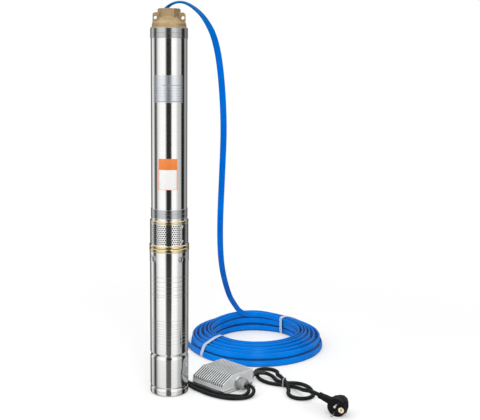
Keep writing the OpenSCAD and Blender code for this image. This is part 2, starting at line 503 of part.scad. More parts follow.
module plug_body() color(black) at_plug() difference() {
  union() {
    translate([-9, 0, 0]) rotate([0, 90, 0]) cylinder(d = plug_d, h = 9);
    translate([-12, 0, 0]) rotate([0, 90, 0]) cylinder(r1 = 20.6, r2 = 19.2, h = 5, $fn = 10);
    translate([-34, 0, 0]) rotate([0, 90, 0]) cylinder(r1 = 12.5, r2 = 20.6, h = 22.01, $fn = 10);
    translate([-14, 0, 0]) rotate([90, 0, 0]) cylinder(r1 = 9, r2 = 6.8, h = 32);
    translate([-14, 0, 0]) rotate([90, 0, 0]) cylinder(r = 6, h = 43);
  }
  for (s = [-1, 1]) translate([-12, 0, 9.5 * s]) rotate([0, 90, 0]) cylinder(d = pin_d - 0.8, h = 20, $fn = 32);
  translate([-12, 10.5, 0]) rotate([0, 90, 0]) cylinder(r = 5.6, h = 20, $fn = 32);
}
module plug_pins() color(steel) at_plug() for (s = [-1, 1]) translate([-12, 0, 9.5 * s]) rotate([0, 90, 0]) {
  cylinder(d = pin_d - 0.8, h = 12.01, $fn = 32);
  translate([0, 0, 12]) cylinder(d = pin_d, h = 17.5, $fn = 32);
  translate([0, 0, 29.49]) cylinder(d1 = pin_d, d2 = 2.6, h = 1.5, $fn = 32);
}
module plug_contacts() color(white) at_plug() difference() {
  translate([-12, 10.5, 0]) rotate([0, 90, 0]) cylinder(r = 5.6, h = 12.4, $fn = 32);
  translate([-10, 10.5, 0]) rotate([0, 90, 0]) cylinder(r = 2.4, h = 12.4, $fn = 32);
}

motor_shell();
motor_collar();
bottom_cap();
diaphragm();
lower_end_bell();
thrust_pads();
motor_bushes();
stator_core();
stator_windings();
upper_end_bell();
seal_seat();
lead_connector();
flange_studs();
flange_nuts();
inlet_bracket();
strainer();
panel_screws();
cable_guard();
motor_lead();
pump_tube();
upper_tube_band();
lower_tube_band();
diffusers();
bearing_carrier();
bearing_bush();
valve_seat();
valve_guide();
discharge_head();
rating_plate();
colour_tag();
motor_shaft();
rotor_core();
thrust_disc();
seal_ring();
sand_slinger();
shaft_coupling();
pump_shaft();
impellers();
valve_poppet();
valve_seal();
box_housing();
box_base();
box_gasket();
box_screws();
run_capacitor();
terminal_block();
gland_bodies();
gland_nuts();
drop_cable();
cable_coil();
coil_ties();
cable_tail();
cable_joint();
pump_leads();
mains_cord();
cord_tie();
plug_body();
plug_pins();
plug_contacts();
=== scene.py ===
import math

import bmesh
import bpy
import numpy as np
from mathutils import Matrix, Vector


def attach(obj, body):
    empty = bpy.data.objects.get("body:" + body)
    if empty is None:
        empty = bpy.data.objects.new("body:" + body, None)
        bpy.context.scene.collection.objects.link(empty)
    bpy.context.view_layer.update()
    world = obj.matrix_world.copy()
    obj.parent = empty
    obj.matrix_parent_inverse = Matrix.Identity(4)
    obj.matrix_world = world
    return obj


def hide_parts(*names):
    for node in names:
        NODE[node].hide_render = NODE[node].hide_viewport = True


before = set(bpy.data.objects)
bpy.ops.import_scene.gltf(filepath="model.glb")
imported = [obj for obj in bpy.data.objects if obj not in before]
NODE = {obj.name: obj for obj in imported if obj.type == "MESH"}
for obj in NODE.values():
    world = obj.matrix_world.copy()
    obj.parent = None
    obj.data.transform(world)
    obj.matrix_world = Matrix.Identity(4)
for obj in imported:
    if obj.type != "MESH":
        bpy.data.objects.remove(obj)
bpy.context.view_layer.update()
scene = bpy.context.scene
MM = 0.001
rng = np.random.default_rng(11)

# ------------------------------------------------------------------ camera
cam_data = bpy.data.cameras.new("camera")
cam = bpy.data.objects.new("camera", cam_data)
scene.collection.objects.link(cam)
cam_data.sensor_width = 36.0
cam_data.lens = 67.5
cam_data.clip_start, cam_data.clip_end = 0.05, 60.0
cam.matrix_world = (Matrix.Translation((0.1402, -1.7617, 0.6587))
                    @ Matrix.Rotation(math.radians(90 - 9.114), 4, "X")
                    @ Matrix.Rotation(math.radians(0.66), 4, "Z"))
scene.camera = cam

# ------------------------------------------------------------------ mesh helpers (millimetres in, metres out)


def link(obj):
    scene.collection.objects.link(obj)
    return obj


def mesh_object(name, verts, faces, smooth=True, sharp=None):
    me = bpy.data.meshes.new(name)
    me.from_pydata([tuple(v) for v in np.asarray(verts, float) * MM], [], [tuple(int(i) for i in f) for f in faces])
    me.validate()
    bm = bmesh.new()
    bm.from_mesh(me)
    bmesh.ops.recalc_face_normals(bm, faces=bm.faces)
    bm.to_mesh(me)
    bm.free()
    if smooth:
        me.shade_smooth()
        if sharp is not None:
            me.set_sharp_from_angle(angle=math.radians(sharp))
    return link(bpy.data.objects.new(name, me))


def cubic(P, n_sub=16, t0=None, t1=None):
    """Twice differentiable curve through the rows of P, sampled n_sub times between neighbours; the first three columns set its speed."""
    P = np.asarray(P, float)
    h = np.linalg.norm(np.diff(P[:, :3], axis=0), axis=1)
    n = len(P)
    lo, di, up, B = np.zeros(n), np.zeros(n), np.zeros(n), np.zeros_like(P)
    for i in range(1, n - 1):
        lo[i], di[i], up[i] = 1 / h[i - 1], 2 / h[i - 1] + 2 / h[i], 1 / h[i]
        B[i] = 3 * ((P[i] - P[i - 1]) / h[i - 1] ** 2 + (P[i + 1] - P[i]) / h[i] ** 2)
    di[0], up[0], B[0] = 2, 1, 3 * (P[1] - P[0]) / h[0]
    di[-1], lo[-1], B[-1] = 2, 1, 3 * (P[-1] - P[-2]) / h[-1]
    if t0 is not None:
        di[0], up[0] = 1, 0
        B[0, :3] = np.asarray(t0, float) / np.linalg.norm(t0)
        B[0, 3:] = 0
    if t1 is not None:
        di[-1], lo[-1] = 1, 0
        B[-1, :3] = np.asarray(t1, float) / np.linalg.norm(t1)
        B[-1, 3:] = 0
    for i in range(1, n):
        w = lo[i] / di[i - 1]
        di[i] -= w * up[i - 1]
        B[i] -= w * B[i - 1]
    m = np.zeros_like(P)
    m[-1] = B[-1] / di[-1]
    for i in range(n - 2, -1, -1):
        m[i] = (B[i] - up[i] * m[i + 1]) / di[i]
    out = []
    for i in range(n - 1):
        for k in range(n_sub):
            t = k / n_sub
            a, b = 2 * t ** 3 - 3 * t * t + 1, t ** 3 - 2 * t * t + t
            c, d = -2 * t ** 3 + 3 * t * t, t ** 3 - t * t
            out.append(a * P[i] + b * h[i] * m[i] + c * P[i + 1] + d * h[i] * m[i + 1])
    out.append(P[-1])
    return np.array(out)


def even(Q, step):
    """The same curve in steps of equal length."""
    s = np.concatenate([[0], np.cumsum(np.linalg.norm(np.diff(Q[:, :3], axis=0), axis=1))])
    n = max(2, int(round(s[-1] / step)) + 1)
    u = np.linspace(0, s[-1], n)
    return np.stack([np.interp(u, s, Q[:, c]) for c in range(Q.shape[1])], 1), s[-1]


def tangents(C):
    T = np.gradient(C, axis=0)
    return T / np.linalg.norm(T, axis=1)[:, None]


def sweep(name, C, X, prof, close=True, scale=None):
    """A closed tube: the section prof (x along X, y along T x X) carried along the points C."""
    T = tangents(C)
    X = X - (X * T).sum(1)[:, None] * T
    X /= np.linalg.norm(X, axis=1)[:, None]
    Y = np.cross(T, X)
    prof = np.asarray(prof, float)
    n, m = len(C), len(prof)
    s = np.ones(n) if scale is None else np.asarray(scale, float)
    V = (C[:, None, :] + (s[:, None] * prof[None, :, 0])[:, :, None] * X[:, None, :]
         + (s[:, None] * prof[None, :, 1])[:, :, None] * Y[:, None, :]).reshape(-1, 3)
    F = []
    for i in range(n - 1):
        a, b = i * m, (i + 1) * m
        F += [(a + j, a + (j + 1) % m, b + (j + 1) % m, b + j) for j in range(m)]
    if close:
        F.append(tuple(range(m - 1, -1, -1)))
        F.append(tuple((n - 1) * m + j for j in range(m)))
    return mesh_object(name, V, F, sharp=50)


def ring_prof(d, m=16):
    a = np.linspace(0, 2 * np.pi, m, endpoint=False)
    return np.stack([np.cos(a), np.sin(a)], 1) * d / 2


def lathe(name, profile, seg=160, a0=0.0, a1=360.0, sharp=28):
    """A closed profile of (radius, height) points turned about the pump's axis."""
    P = np.asarray(profile, float)
    full = abs(a1 - a0 - 360) < 1e-6
    k = seg if full else seg + 1
    A = np.radians(np.linspace(a0, a1, k, endpoint=not full))
    V = np.stack([np.outer(np.cos(A), P[:, 0]), np.outer(np.sin(A), P[:, 0]), np.tile(P[:, 1], (k, 1))], 2).reshape(-1, 3)
    m = len(P)
    F = []
    for i in range(seg):
        a, b = i * m, ((i + 1) % k) * m
        F += [(a + j, b + j, b + (j + 1) % m, a + (j + 1) % m) for j in range(m)]
    if not full:
        F.append(tuple(range(m)))
        F.append(tuple((k - 1) * m + j for j in range(m - 1, -1, -1)))
    return mesh_object(name, V, F, sharp=sharp)


# ------------------------------------------------------------------ cords, first
# the flat drop cable: three cores side by side under one jacket
FW, FT = 12.8, 4.8
_a = np.linspace(0, 2 * np.pi, 36, endpoint=False)
_x = np.cos(_a)
_half = FT / 2 * (1 - np.abs(_x) ** 3.4) ** (1 / 2.2) * (1 - 0.15 * (0.5 - 0.5 * np.cos(3 * np.pi * _x)) * (np.abs(_x) < 0.9))
FLAT = np.stack([_x * FW / 2, np.sign(np.sin(_a)) * _half], 1)


def half_height(lean):
    """Half the height of the flat cable when its width leans by that angle from upright."""
    return float(np.max(FLAT[:, 0] * math.cos(lean) + FLAT[:, 1] * math.sin(lean)))


drop_P = [[-19.45, 33.69, 722], [-19, 33, 740], [-14.5, 31.5, 757], [-6, 30, 769], [5, 30, 776.5], [20, 30, 779.5], [35, 30, 775.5], [48.5, 31, 767],
          [61, 31.5, 755.5], [71, 32.5, 742], [80, 34, 726], [88, 37.5, 704], [95, 43, 671], [100, 50, 630], [103.5, 58, 582], [105, 69, 524],
          [103.5, 82, 468], [101, 100, 405], [98.5, 126, 337], [98, 158, 280], [100.5, 205, 221], [107, 265, 168], [115.5, 330, 121], [122.6, 368, 95],
          [133.5, 398, 70], [139.3, 409, 59.4], [147.7, 418.4, 50.4], [158.3, 425, 44.6], [170.3, 428.9, 42.3]]
drop_W = [[0.87, 0.5, 0], [0.85, 0.5, 0], [0.65, 0.75, 0.05], [0.4, 0.9, 0.1], [0.2, 1, 0.1], [0.1, 1, 0.12], [0.15, 1, 0.2], [0.3, 0.9, 0.3],
          [0.45, 0.8, 0.35], [0.6, 0.65, 0.35], [0.75, 0.45, 0.3], [0.88, 0.3, 0.25], [0.96, 0.15, 0.2], [1, 0.1, 0.1], [1, 0, 0], [1, 0, 0],
          [1, -0.1, 0], [1, -0.1, 0], [1, -0.1, 0], [1, -0.1, 0.1], [1, -0.1, 0.1], [1, -0.1, 0.2], [1, -0.2, 0.4], [0.9, -0.25, 0.55],
          [0.75, -0.3, 0.75], [0.6, -0.3, 0.9], [0.4, -0.2, 1], [0.2, -0.1, 1], [0.08, 0, 1]]
tail_P = [[27, 273, 8], [22, 291, 7], [18, 308, 7], [13, 324, 7], [5, 336, 7], [-8, 341.5, 7], [-21, 339, 7], [-31, 330, 7],
          [-36, 316, 7], [-35.5, 300, 7], [-31, 280, 7], [-25, 258, 7], [-19, 235, 8.5], [-15, 213, 11], [-14, 195, 12.3]]
COIL = np.array([182.0, 322.0])
COIL_SX, COIL_SY = 1.026, 1.10


def bump_fn(a, centre, width):
    """1 at centre, falling smoothly to 0 at width degrees either side."""
    d = abs((a - centre + 180) % 360 - 180) / width
    return 0.0 if d >= 1 else (0.5 + 0.5 * math.cos(math.pi * d))


def lean_at(a):
    return math.radians(3 + 23 * bump_fn(a, 252, 88) + 15 * bump_fn(a, 50, 34))


def floor_at(a):
    """The bottom turns lie on the floor, and on the ties where those pass under."""
    return 0.35 + 1.3 * max(bump_fn(a, 48, 26), bump_fn(a, 219, 26))


def knots(table, x):
    t = np.array(table, float)
    return [float(np.interp(x, t[:, 0], t[:, c])) for c in range(1, t.shape[1])]


coil = []   # x, y, z, and the direction of the width


def coil_point(a, R, z, lean):
    c, s = math.cos(math.radians(a)), math.sin(math.radians(a))
    coil.append([COIL[0] + COIL_SX * R * c, COIL[1] + COIL_SY * R * s, z,
                 -c * math.sin(lean), -s * math.sin(lean), math.cos(lean)])


STEP = 9.0
# the cable comes in over the back of the coil and becomes its innermost top turn
a = 88.0
while a > -20:
    coil_point(a, 98.6 + 1.4 * (88 - a) / 108, 34.1 + 8.0 * bump_fn(a, 95, 60), lean_at(a) * 0.25)
    a -= STEP
# top turns, from the inside out, lower as they go
skin = [[0, 100, 34.0, 0.25], [1, 108, 34.0, 0.35], [2, 115.5, 33.9, 0.55], [3, 125.5, 30.2, 0.9], [4, 135.5, 26.4, 1.0], [5, 146, 21.8, 1.0], [5.72, 147, 21.6, 1.0]]
ph = rng.uniform(0, 2 * np.pi, 12)
a_start = a
while True:
    tau = (-20 - a) / 360
    if tau > 5.70:
        break
    R, z, f = knots(skin, tau)
    k = int(tau)
    R += (0.9 * math.sin(math.radians(2 * a) + ph[k]) + 0.6 * math.sin(math.radians(3 * a) + ph[k + 6])) * min(1, tau * 4, (5.7 - tau) * 4)
    z += floor_at(a) - 0.35 - 0.9 * f * math.degrees(lean_at(a)) / 26
    z += 8.0 * bump_fn(a, 95, 60) * max(0.0, min(1.0, 3.6 - tau))
    coil_point(a, R, z, lean_at(a) * f)
    a -= STEP
# it turns flat and passes under the outer top turns to the middle layer
under = [[0, 144, 19.6, 25], [0.14, 134, 17.3, 86], [0.30, 119, 17.3, 86], [0.40, 115, 19.5, 40], [0.48, 114, 20.9, 8]]
a_u = a
t = 0.06
while t < 0.47:
    R, z, le = knots(under, t)
    coil_point(a, R, z, math.radians(le))
    a -= STEP * 0.8
    t = (a_u - a) / 360 + 0.06
# middle layer, inwards
a_m = a
while (a % 360) > 312 or (a % 360) < 305 or (a_m - a) < 2.6 * 360:
    f = (a_m - a) / (3.1 * 360)
    le = lean_at(a) * 0.35
    coil_point(a, 114 - 16.4 * f, 20.9 + (floor_at(a) - 0.35) + 5.4 * bump_fn(a, 95, 60), le)
    a -= STEP
# down the inner wall on the near side, then the bottom layer outwards
a_b = a
while (a_b - a) < 80:
    f = (a_b - a) / 80
    f = f * f * (3 - 2 * f)
    coil_point(a, 97.2 - 0.6 * f, 20.6 * (1 - f) + 7.2 * f, lean_at(a) * 0.4)
    a -= STEP
a_o = a
end_turns = 10 + ((a_o - 198.0) % 360) / 360
while (a_o - a) / 360 < end_turns:
    f = (a_o - a) / 360 / end_turns
    le = lean_at(a) * (0.35 + 0.65 * min(1, f * 2))
    coil_point(a, 96.6 + 58.0 * f, floor_at(a) + half_height(le), le)
    a -= STEP
cable_pts = ([p + w for p, w in zip(drop_P, drop_W)] + coil + [p + [0, 0, 1] for p in tail_P[1:]])
flat_C, flat_len = even(cubic(cable_pts, 8, t0=(0, 0, 1), t1=(0, -1, 0)), 5.0)
flat = sweep("flat_cable", flat_C[:, :3], flat_C[:, 3:], FLAT)

pair_a = [[160.9, -4.8, 15], [167, -10.6, 14.2], [171.5, -18, 12], [172, -28, 9], [167, -38.5, 6], [157, -46.5, 4.4], [143, -51, 4.2], [126, -51.5, 4.2],
          [108, -46, 4.2], [90, -35.5, 4.2], [74, -22, 4.2], [60.5, -7.5, 4.2], [50, 5, 4.2], [43, 15.5, 4.2], [35, 26, 4.2], [25, 40, 4.2],
          [9, 65, 5], [-8, 92, 8], [-16.4, 110, 11.5], [-18.4, 125, 12.3]]
pair_b = [[154.8, -11.2, 15], [159.9, -16.2, 14.2], [162.6, -22.8, 12.3], [161.2, -30.2, 9.3], [154.8, -36.2, 6.5], [143, -39, 4.5], [127, -37, 4.2], [103, -27.5, 4.2],
          [82.5, -10.5, 4.2], [64, 8, 4.2], [52, 19.5, 4.2], [42, 31, 4.2], [32.5, 46, 4.2], [17.5, 71, 5], [0.5, 96, 8], [-7.6, 112, 11.5],
          [-9.6, 125, 12.3]]
mains_P = [[170, 68.7, 12], [175.5, 74.5, 12.3], [181.5, 80, 12.9], [188.5, 83.5, 12.8], [196, 83, 11.4], [203.5, 78.5, 9.2], [210, 71, 7], [216, 62, 5.2],
           [222.5, 54.2, 4.4], [230.5, 47, 4.2], [240, 41.5, 4.2], [256, 41, 4.2], [271, 36, 4.2], [282.5, 24, 4.2], [289.5, 7, 4.2], [291.5, -12, 4.2],
           [289, -31, 4.2], [280.5, -45, 4.2], [268, -50.5, 4.2], [255, -46.5, 4.2], [247, -34, 4.4], [244.3, -18, 6.2], [242.5, 0, 10], [240, 17, 12.9],
           [235.5, 35, 13.2], [230, 55, 12.9], [226.5, 75, 8.8], [223.8, 94, 4.6], [221.5, 108, 4.2], [216, 121, 4.2], [206, 129.5, 4.2], [195, 129.5, 4.2],
           [185.5, 122.5, 4.2], [181, 110, 4.2], [180.2, 94, 4.2], [182.5, 74, 4.2], [190.5, 55, 4.2], [204, 40.5, 4.2], [220, 32, 4.2], [236.5, 27, 4.2],
           [249, 20.5, 4.4], [257.5, 10, 6.5], [263.5, -6, 10.5], [267.5, -25, 15.5], [270, -44, 21], [272.5, -61, 26.7], [276.5, -77, 31.7], [283, -90, 34.7],
           [289, -97.4, 35], [296.6, -101.9, 32.9]]
UP = np.array([0.0, 0.0, 1.0])


def ease(P, r_min, z_min, t0, t1, step=5.0, rounds=3000):
    """The same route in even steps, let out sideways until no bend is tighter than r_min; its ends stay."""
    C, _ = even(cubic(P, 16, t0=t0, t1=t1), step)
    s = np.linalg.norm(C[1] - C[0])
    free = np.ones((len(C), 1))
    free[:2] = free[-2:] = 0
    z_low = np.where(free[:, 0] > 0, z_min, C[:, 2])
    for _ in range(rounds):
        k = C[:-2] - 2 * C[1:-1] + C[2:]
        m = np.maximum(np.linalg.norm(k, axis=1), 1e-9)
        e = k * np.maximum(0, 1 - s * s / (r_min * m))[:, None] / 6
        D = np.zeros_like(C)
        D[1:-1] += 2 * e
        D[:-2] -= e
        D[2:] -= e
        C = C + 0.7 * D * free
        d = np.diff(C, axis=0)
        g = d * (1 - s / np.linalg.norm(d, axis=1)[:, None]) * 0.25
        D = np.zeros_like(C)
        D[:-1] += g
        D[1:] -= g
        C = C + D * free
        C[:, 2] = np.maximum(C[:, 2], z_low)
    return C


def round_cord(name, P, d, t0, t1, r_min, step=2.5, m=20):
    C, length = even(cubic(ease(P, r_min, 4.2, t0, t1), 8, t0=t0, t1=t1), step)
    return sweep(name, C, np.tile(UP, (len(C), 1)), ring_prof(d, m)), C, length


lead_a, lead_a_C, lead_a_len = round_cord("pump_lead_a", pair_a, 7.4, (0.725, -0.688, 0), (0, 1, 0), 17)
lead_b, lead_b_C, lead_b_len = round_cord("pump_lead_b", pair_b, 7.4, (0.725, -0.688, 0), (0, 1, 0), 17)
mains, mains_C, mains_len = round_cord("mains_lead", mains_P, 8.0, (0.688, 0.725, 0), (0.86, -0.408, -0.308), 28)

# tapered rubber sleeve where the mains lead leaves the box
_n = 14
sleeve_s = np.linspace(0, 1, _n)
sleeve_prof_r = np.array([1.36, 1.40, 1.40, 1.30, 1.36, 1.27, 1.31, 1.22, 1.26, 1.18, 1.20, 1.13, 1.10, 1.03])
mains_sleeve = sweep("mains_sleeve", mains_C[:_n], np.tile(UP, (_n, 1)), ring_prof(8.0, 20), scale=sleeve_prof_r)

# ------------------------------------------------------------------ pieces that refine the CAD


def prism(frame_fn, u0, u1, prof):
    """A solid with the outline prof (v, z) between two u planes."""
    m = len(prof)
    V = [frame_fn(u, v, z) for u in (u0, u1) for v, z in prof]
    F = [tuple(range(m - 1, -1, -1)), tuple(range(m, 2 * m))] + [(j, (j + 1) % m, m + (j + 1) % m, m + j) for j in range(m)]
    return V, F


def drum(frame_fn, rings, seg=48):
    """A solid of revolution: rings of (centre point in the local frame, two local directions, radius)."""
    V, F = [], []
    for c, e1, e2, r in rings:
        for k in range(seg):
            t = 2 * math.pi * k / seg
            p = np.array(c) + r * (math.cos(t) * np.array(e1) + math.sin(t) * np.array(e2))
            V.append(frame_fn(*p))
    for i in range(len(rings) - 1):
        a, b = i * seg, (i + 1) * seg
        F += [(a + j, a + (j + 1) % seg, b + (j + 1) % seg, b + j) for j in range(seg)]
    F.append(tuple(range(seg - 1, -1, -1)))
    F.append(tuple((len(rings) - 1) * seg + j for j in range(seg)))
    return V, F


def cad_solid(name):
    """The faces of a CAD node with its corners joined, in millimetres."""
    o = NODE[name]
    co = np.array([o.matrix_world @ v.co for v in o.data.vertices]) / MM
    key, inv = np.unique(np.round(co, 3), axis=0, return_inverse=True)
    inv = inv.reshape(-1)
    F = []
    for p in o.data.polygons:
        q = []
        for i in p.vertices:
            k = int(inv[i])
            if k not in q:
                q.append(k)
        if len(q) > 2:
            F.append(tuple(q))
    return list(key), F


def fused(name, solids, voxel, rounds):
    """Several closed solids made into one, with softened edges."""
    V, F = [], []
    for v, f in solids:
        n = len(V)
        V += [tuple(p) for p in v]
        F += [tuple(n + i for i in q) for q in f]
    raw = mesh_object(name + "_raw", V, F, smooth=False)
    r = raw.modifiers.new("fuse", "REMESH")
    r.mode = "VOXEL"
    r.voxel_size = voxel * MM
    sm = raw.modifiers.new("soft", "SMOOTH")
    sm.factor, sm.iterations = 0.5, rounds
    bpy.context.view_layer.update()
    me = bpy.data.meshes.new_from_object(raw.evaluated_get(bpy.context.evaluated_depsgraph_get()))
    bpy.data.objects.remove(raw)
    me.name = name
    me.shade_smooth()
    return link(bpy.data.objects.new(name, me))


def hull(P):
    P = sorted(set((round(float(x), 4), round(float(y), 4)) for x, y in P))

    def half(Q):
        H = []
        for p in Q:
            while len(H) > 1 and (H[-1][0] - H[-2][0]) * (p[1] - H[-2][1]) - (H[-1][1] - H[-2][1]) * (p[0] - H[-2][0]) <= 0:
                H.pop()
            H.append(p)
        return H
    lo_h, up_h = half(P), half(P[::-1])
    return np.array(lo_h[:-1] + up_h[:-1])


def strap(name, points, grow, origin, e, n, prof, z_min, step=2.0):
    """A band drawn tight round the given section points (distance along e, height), its width along n."""
    t = np.linspace(0, 2 * np.pi, 16, endpoint=False)
    ring = np.stack([np.cos(t), np.sin(t)], 1) * grow
    H = hull((np.asarray(points)[:, None, :] + ring[None]).reshape(-1, 2))
    H[:, 1] = np.maximum(H[:, 1], z_min)
    Q = np.concatenate([H, H[:1]])
    d = np.concatenate([[0], np.cumsum(np.linalg.norm(np.diff(Q, axis=0), axis=1))])
    k = int(d[-1] / step)
    u = np.linspace(0, d[-1], k, endpoint=False)
    L = np.stack([np.interp(u, d, Q[:, c]) for c in (0, 1)], 1)
    for _ in range(2):
        L = 0.25 * np.roll(L, 1, 0) + 0.5 * L + 0.25 * np.roll(L, -1, 0)
    T = np.roll(L, -1, 0) - np.roll(L, 1, 0)
    T /= np.linalg.norm(T, axis=1)[:, None]
    out = np.stack([T[:, 1], -T[:, 0]], 1)
    V, F = [], []
    m = len(prof)
    for i in range(k):
        for x, y in prof:
            q = L[i] + y * out[i]
            V.append((origin[0] + q[0] * e[0] + x * n[0], origin[1] + q[0] * e[1] + x * n[1], max(q[1], 0.12)))
    for i in range(k):
        a, b = i * m, ((i + 1) % k) * m
        F += [(a + j, b + j, b + (j + 1) % m, a + (j + 1) % m) for j in range(m)]
    return mesh_object(name, V, F, sharp=35)


def mesh_points(obj):
    return np.array([v.co for v in obj.data.vertices]) / MM


# flat ribbed straps round the coil
TIE = [(-4.6, -0.5), (4.6, -0.5), (4.6, 0.3), (4.2, 0.5), (1.3, 0.5), (0.9, 0.1), (-0.9, 0.1), (-1.3, 0.5), (-4.2, 0.5), (-4.6, 0.3)]
cable_v = mesh_points(flat)
ties = []
for tag_name, deg, skew in (("coil_strap_a", 219, 0), ("coil_strap_b", 47, -13)):
    mid = COIL + 118 * np.array([COIL_SX * math.cos(math.radians(deg)), COIL_SY * math.sin(math.radians(deg))])
    e = np.array([math.cos(math.radians(deg + skew)), math.sin(math.radians(deg + skew))])
    nn = np.array([-e[1], e[0]])
    hub = mid - 125 * e
    rel = cable_v[:, :2] - hub
    sd = rel @ e
    near = (np.abs(rel @ nn) < 5.0) & (sd > 60) & (sd < 190) & (cable_v[:, 2] < 60)
    ties.append(strap(tag_name, np.stack([sd[near], cable_v[near, 2]], 1), 0.8, hub, e, nn, TIE, 0.7))
# thin band round the passes of the mains lead
e = np.array([0.342, 0.940])
nn = np.array([0.940, -0.342])
rel = mesh_points(mains)
sd, nd = (rel[:, :2] - [236.5, 33.2]) @ e, (rel[:, :2] - [236.5, 33.2]) @ nn
near = (np.abs(nd) < 2.2) & (np.abs(sd) < 19)
cord_band = strap("lead_band", np.stack([sd[near], rel[near, 2]], 1), 0.5, (236.5, 33.2), e, nn,
                  [(-1.2, -0.4), (1.2, -0.4), (1.2, 0.2), (0.9, 0.4), (-0.9, 0.4), (-1.2, 0.2)], 0.55, 1.2)

# cast head with softened edges
head = fused("head_casting", [cad_solid("discharge_head")], 0.5, 2)

# motor can with the faint lines its rolling leaves
mr_, mi_ = 38.5, 37.3
can = [(mi_ - 0.8, 0.8), (mr_ - 0.6, 1.4), (mr_ - 0.15, 2.2), (mr_, 3.4), (mr_, 3.9), (mr_, 10.9), (mr_, 11.4), (mr_ - 0.3, 12.3), (mr_ - 1.4, 13.9), (mr_ - 1.5, 15), (mr_ - 1.4, 16.1), (mr_ - 0.3, 17.7), (mr_, 18.6), (mr_, 19.1),
       (mr_, 75.9), (mr_, 76.4), (mr_ - 0.3, 77.7), (mr_ - 1.7, 80.2), (mr_ - 1.9, 82), (mr_ - 1.7, 83.8), (mr_ - 0.3, 86.3), (mr_, 87.6), (mr_, 88.1)]
for z in (108.5, 115, 123.5, 129, 133.5, 139, 144.5, 149, 155.5, 204.5, 209, 218, 225, 235, 244):
    can += [(mr_, z - 1.2), (mr_, z - 0.8), (mr_ - 0.14, z - 0.35), (mr_ - 0.24, z), (mr_ - 0.14, z + 0.35), (mr_, z + 0.8), (mr_, z + 1.2)]
can += [(mr_, 291.5), (mr_, 292), (mi_, 292), (mi_, 87.4), (mi_ - 1.9, 84), (mi_ - 1.9, 80), (mi_, 76.6), (mi_, 18.4), (mi_ - 1.5, 16.4), (mi_ - 1.5, 13.6), (mi_, 11.6), (mi_, 4), (mi_ - 0.8, 3)]
motor_can = lathe("motor_can", can, 192, sharp=24)

# round dimples pressed into the collar, seen as shallow buttons
cr = max(math.hypot(v.co.x, v.co.y) for v in NODE["motor_collar"].data.vertices) / MM
V, F = [], []
for deg in (-137, -50.4, 43, 129.6):
    n0 = len(V)
    dome = [(6.0, -0.5), (6.0, 0.10), (5.5, 0.62), (4.8, 0.66), (4.2, 0.10), (3.3, 0.20), (2.1, 0.62), (1.0, 0.80)]
    for rho, h in dome:
        for k in range(28):
            t = 2 * math.pi * k / 28
            w, z = rho * math.cos(t), 280.5 + rho * math.sin(t)
            g = math.radians(deg) + w / cr
            V.append(((cr + h) * math.cos(g), (cr + h) * math.sin(g), z))
    for i in range(len(dome) - 1):
        F += [(n0 + 28 * i + k, n0 + 28 * i + (k + 1) % 28, n0 + 28 * (i + 1) + (k + 1) % 28, n0 + 28 * (i + 1) + k) for k in range(28)]
    F.append(tuple(n0 + k for k in range(27, -1, -1)))
    F.append(tuple(n0 + 28 * (len(dome) - 1) + k for k in range(28)))
dimples = mesh_object("collar_dimples", V, F, sharp=60)

# a dark sheet behind the perforated sheet, painted shade so its holes show dark
shade_liner = lathe("intake_shade_liner", [(36.5, 309), (36.9, 309), (36.9, 350.6), (36.5, 350.6)], 120, 148, 452)

# printed rules on the plate, without any wording
V, F = [], []


def patch(a0, a1, z0, z1, r0=35.68, r1=35.76):
    k = max(2, int(abs(a1 - a0) / 2) + 1)
    A_ = np.radians(np.linspace(a0, a1, k) - 90)
    n0 = len(V)
    for t in A_:
        for r, z in ((r0, z0), (r1, z0), (r1, z1), (r0, z1)):
            V.append((r * math.cos(t), r * math.sin(t), z))
    for i in range(k - 1):
        a_, b_ = n0 + 4 * i, n0 + 4 * i + 4
        for j in range(4):
            F.append((a_ + j, b_ + j, b_ + (j + 1) % 4, a_ + (j + 1) % 4))
    F.append((n0, n0 + 1, n0 + 2, n0 + 3))
    e_ = n0 + 4 * (k - 1)
    F.append((e_ + 3, e_ + 2, e_ + 1, e_))


patch(-19, 44, 619.6, 620.6)
patch(-48, 44, 589.2, 590.4)
for z in (614.5, 609.5, 604.5, 599.5, 594.6):
    patch(-47, -20, z, z + 0.35)
    patch(-15, 20, z, z + 0.35)
    patch(25, 45, z, z + 0.35)
rules = mesh_object("plate_rules", V, F, smooth=False)

# finned lid of the control box
_c, _s = math.cos(math.radians(-43.5)), math.sin(math.radians(-43.5))


def box_frame(u, v, z):
    return (108.6 + u * _c - v * _s, 36 + u * _s + v * _c, z)


lid = [prism(box_frame, -44, 44, [(-44, 7), (-44, 14.6), (-20, 27.4), (-16.6, 34.4), (43, 34.8), (44, 33.4), (44, 7)]),
       prism(box_frame, -44.7, 44.7, [(-44.7, 7), (-44.7, 9.6), (44.7, 9.6), (44.7, 7)])]
for k in range(16):
    u = -43 + 86 * k / 15
    lid.append(prism(box_frame, u - 1.25, u + 1.25, [(-44, 11), (-44.4, 22.6), (-17.6, 36.4), (-15.6, 37), (-12, 37), (43.6, 36.8), (43.6, 30)]))
lid.append(drum(box_frame, [((40, 2, 18.2), (0, 1, 0), (0, 0, 1), 11), ((45.6, 2, 18.2), (0, 1, 0), (0, 0, 1), 11), ((46.6, 2, 18.2), (0, 1, 0), (0, 0, 1), 10)]))
lid.append(prism(box_frame, 10, 34, [(40, 7.2), (40, 25), (45.4, 24), (46.2, 22.5), (46.2, 7.2)]))
housing = fused("finned_lid", lid, 0.5, 2)

# plug body with softened edges and ribs on its sleeve
_plug = (Matrix.Translation((327.3, -131.8, 18.5)) @ Matrix.Rotation(math.radians(243), 4, "Z")
         @ Matrix.Rotation(math.radians(5), 4, "Y") @ Matrix.Rotation(math.radians(-18), 4, "X"))


def plug_frame(x, y, z):
    return tuple(_plug @ Vector((x, y, z)))


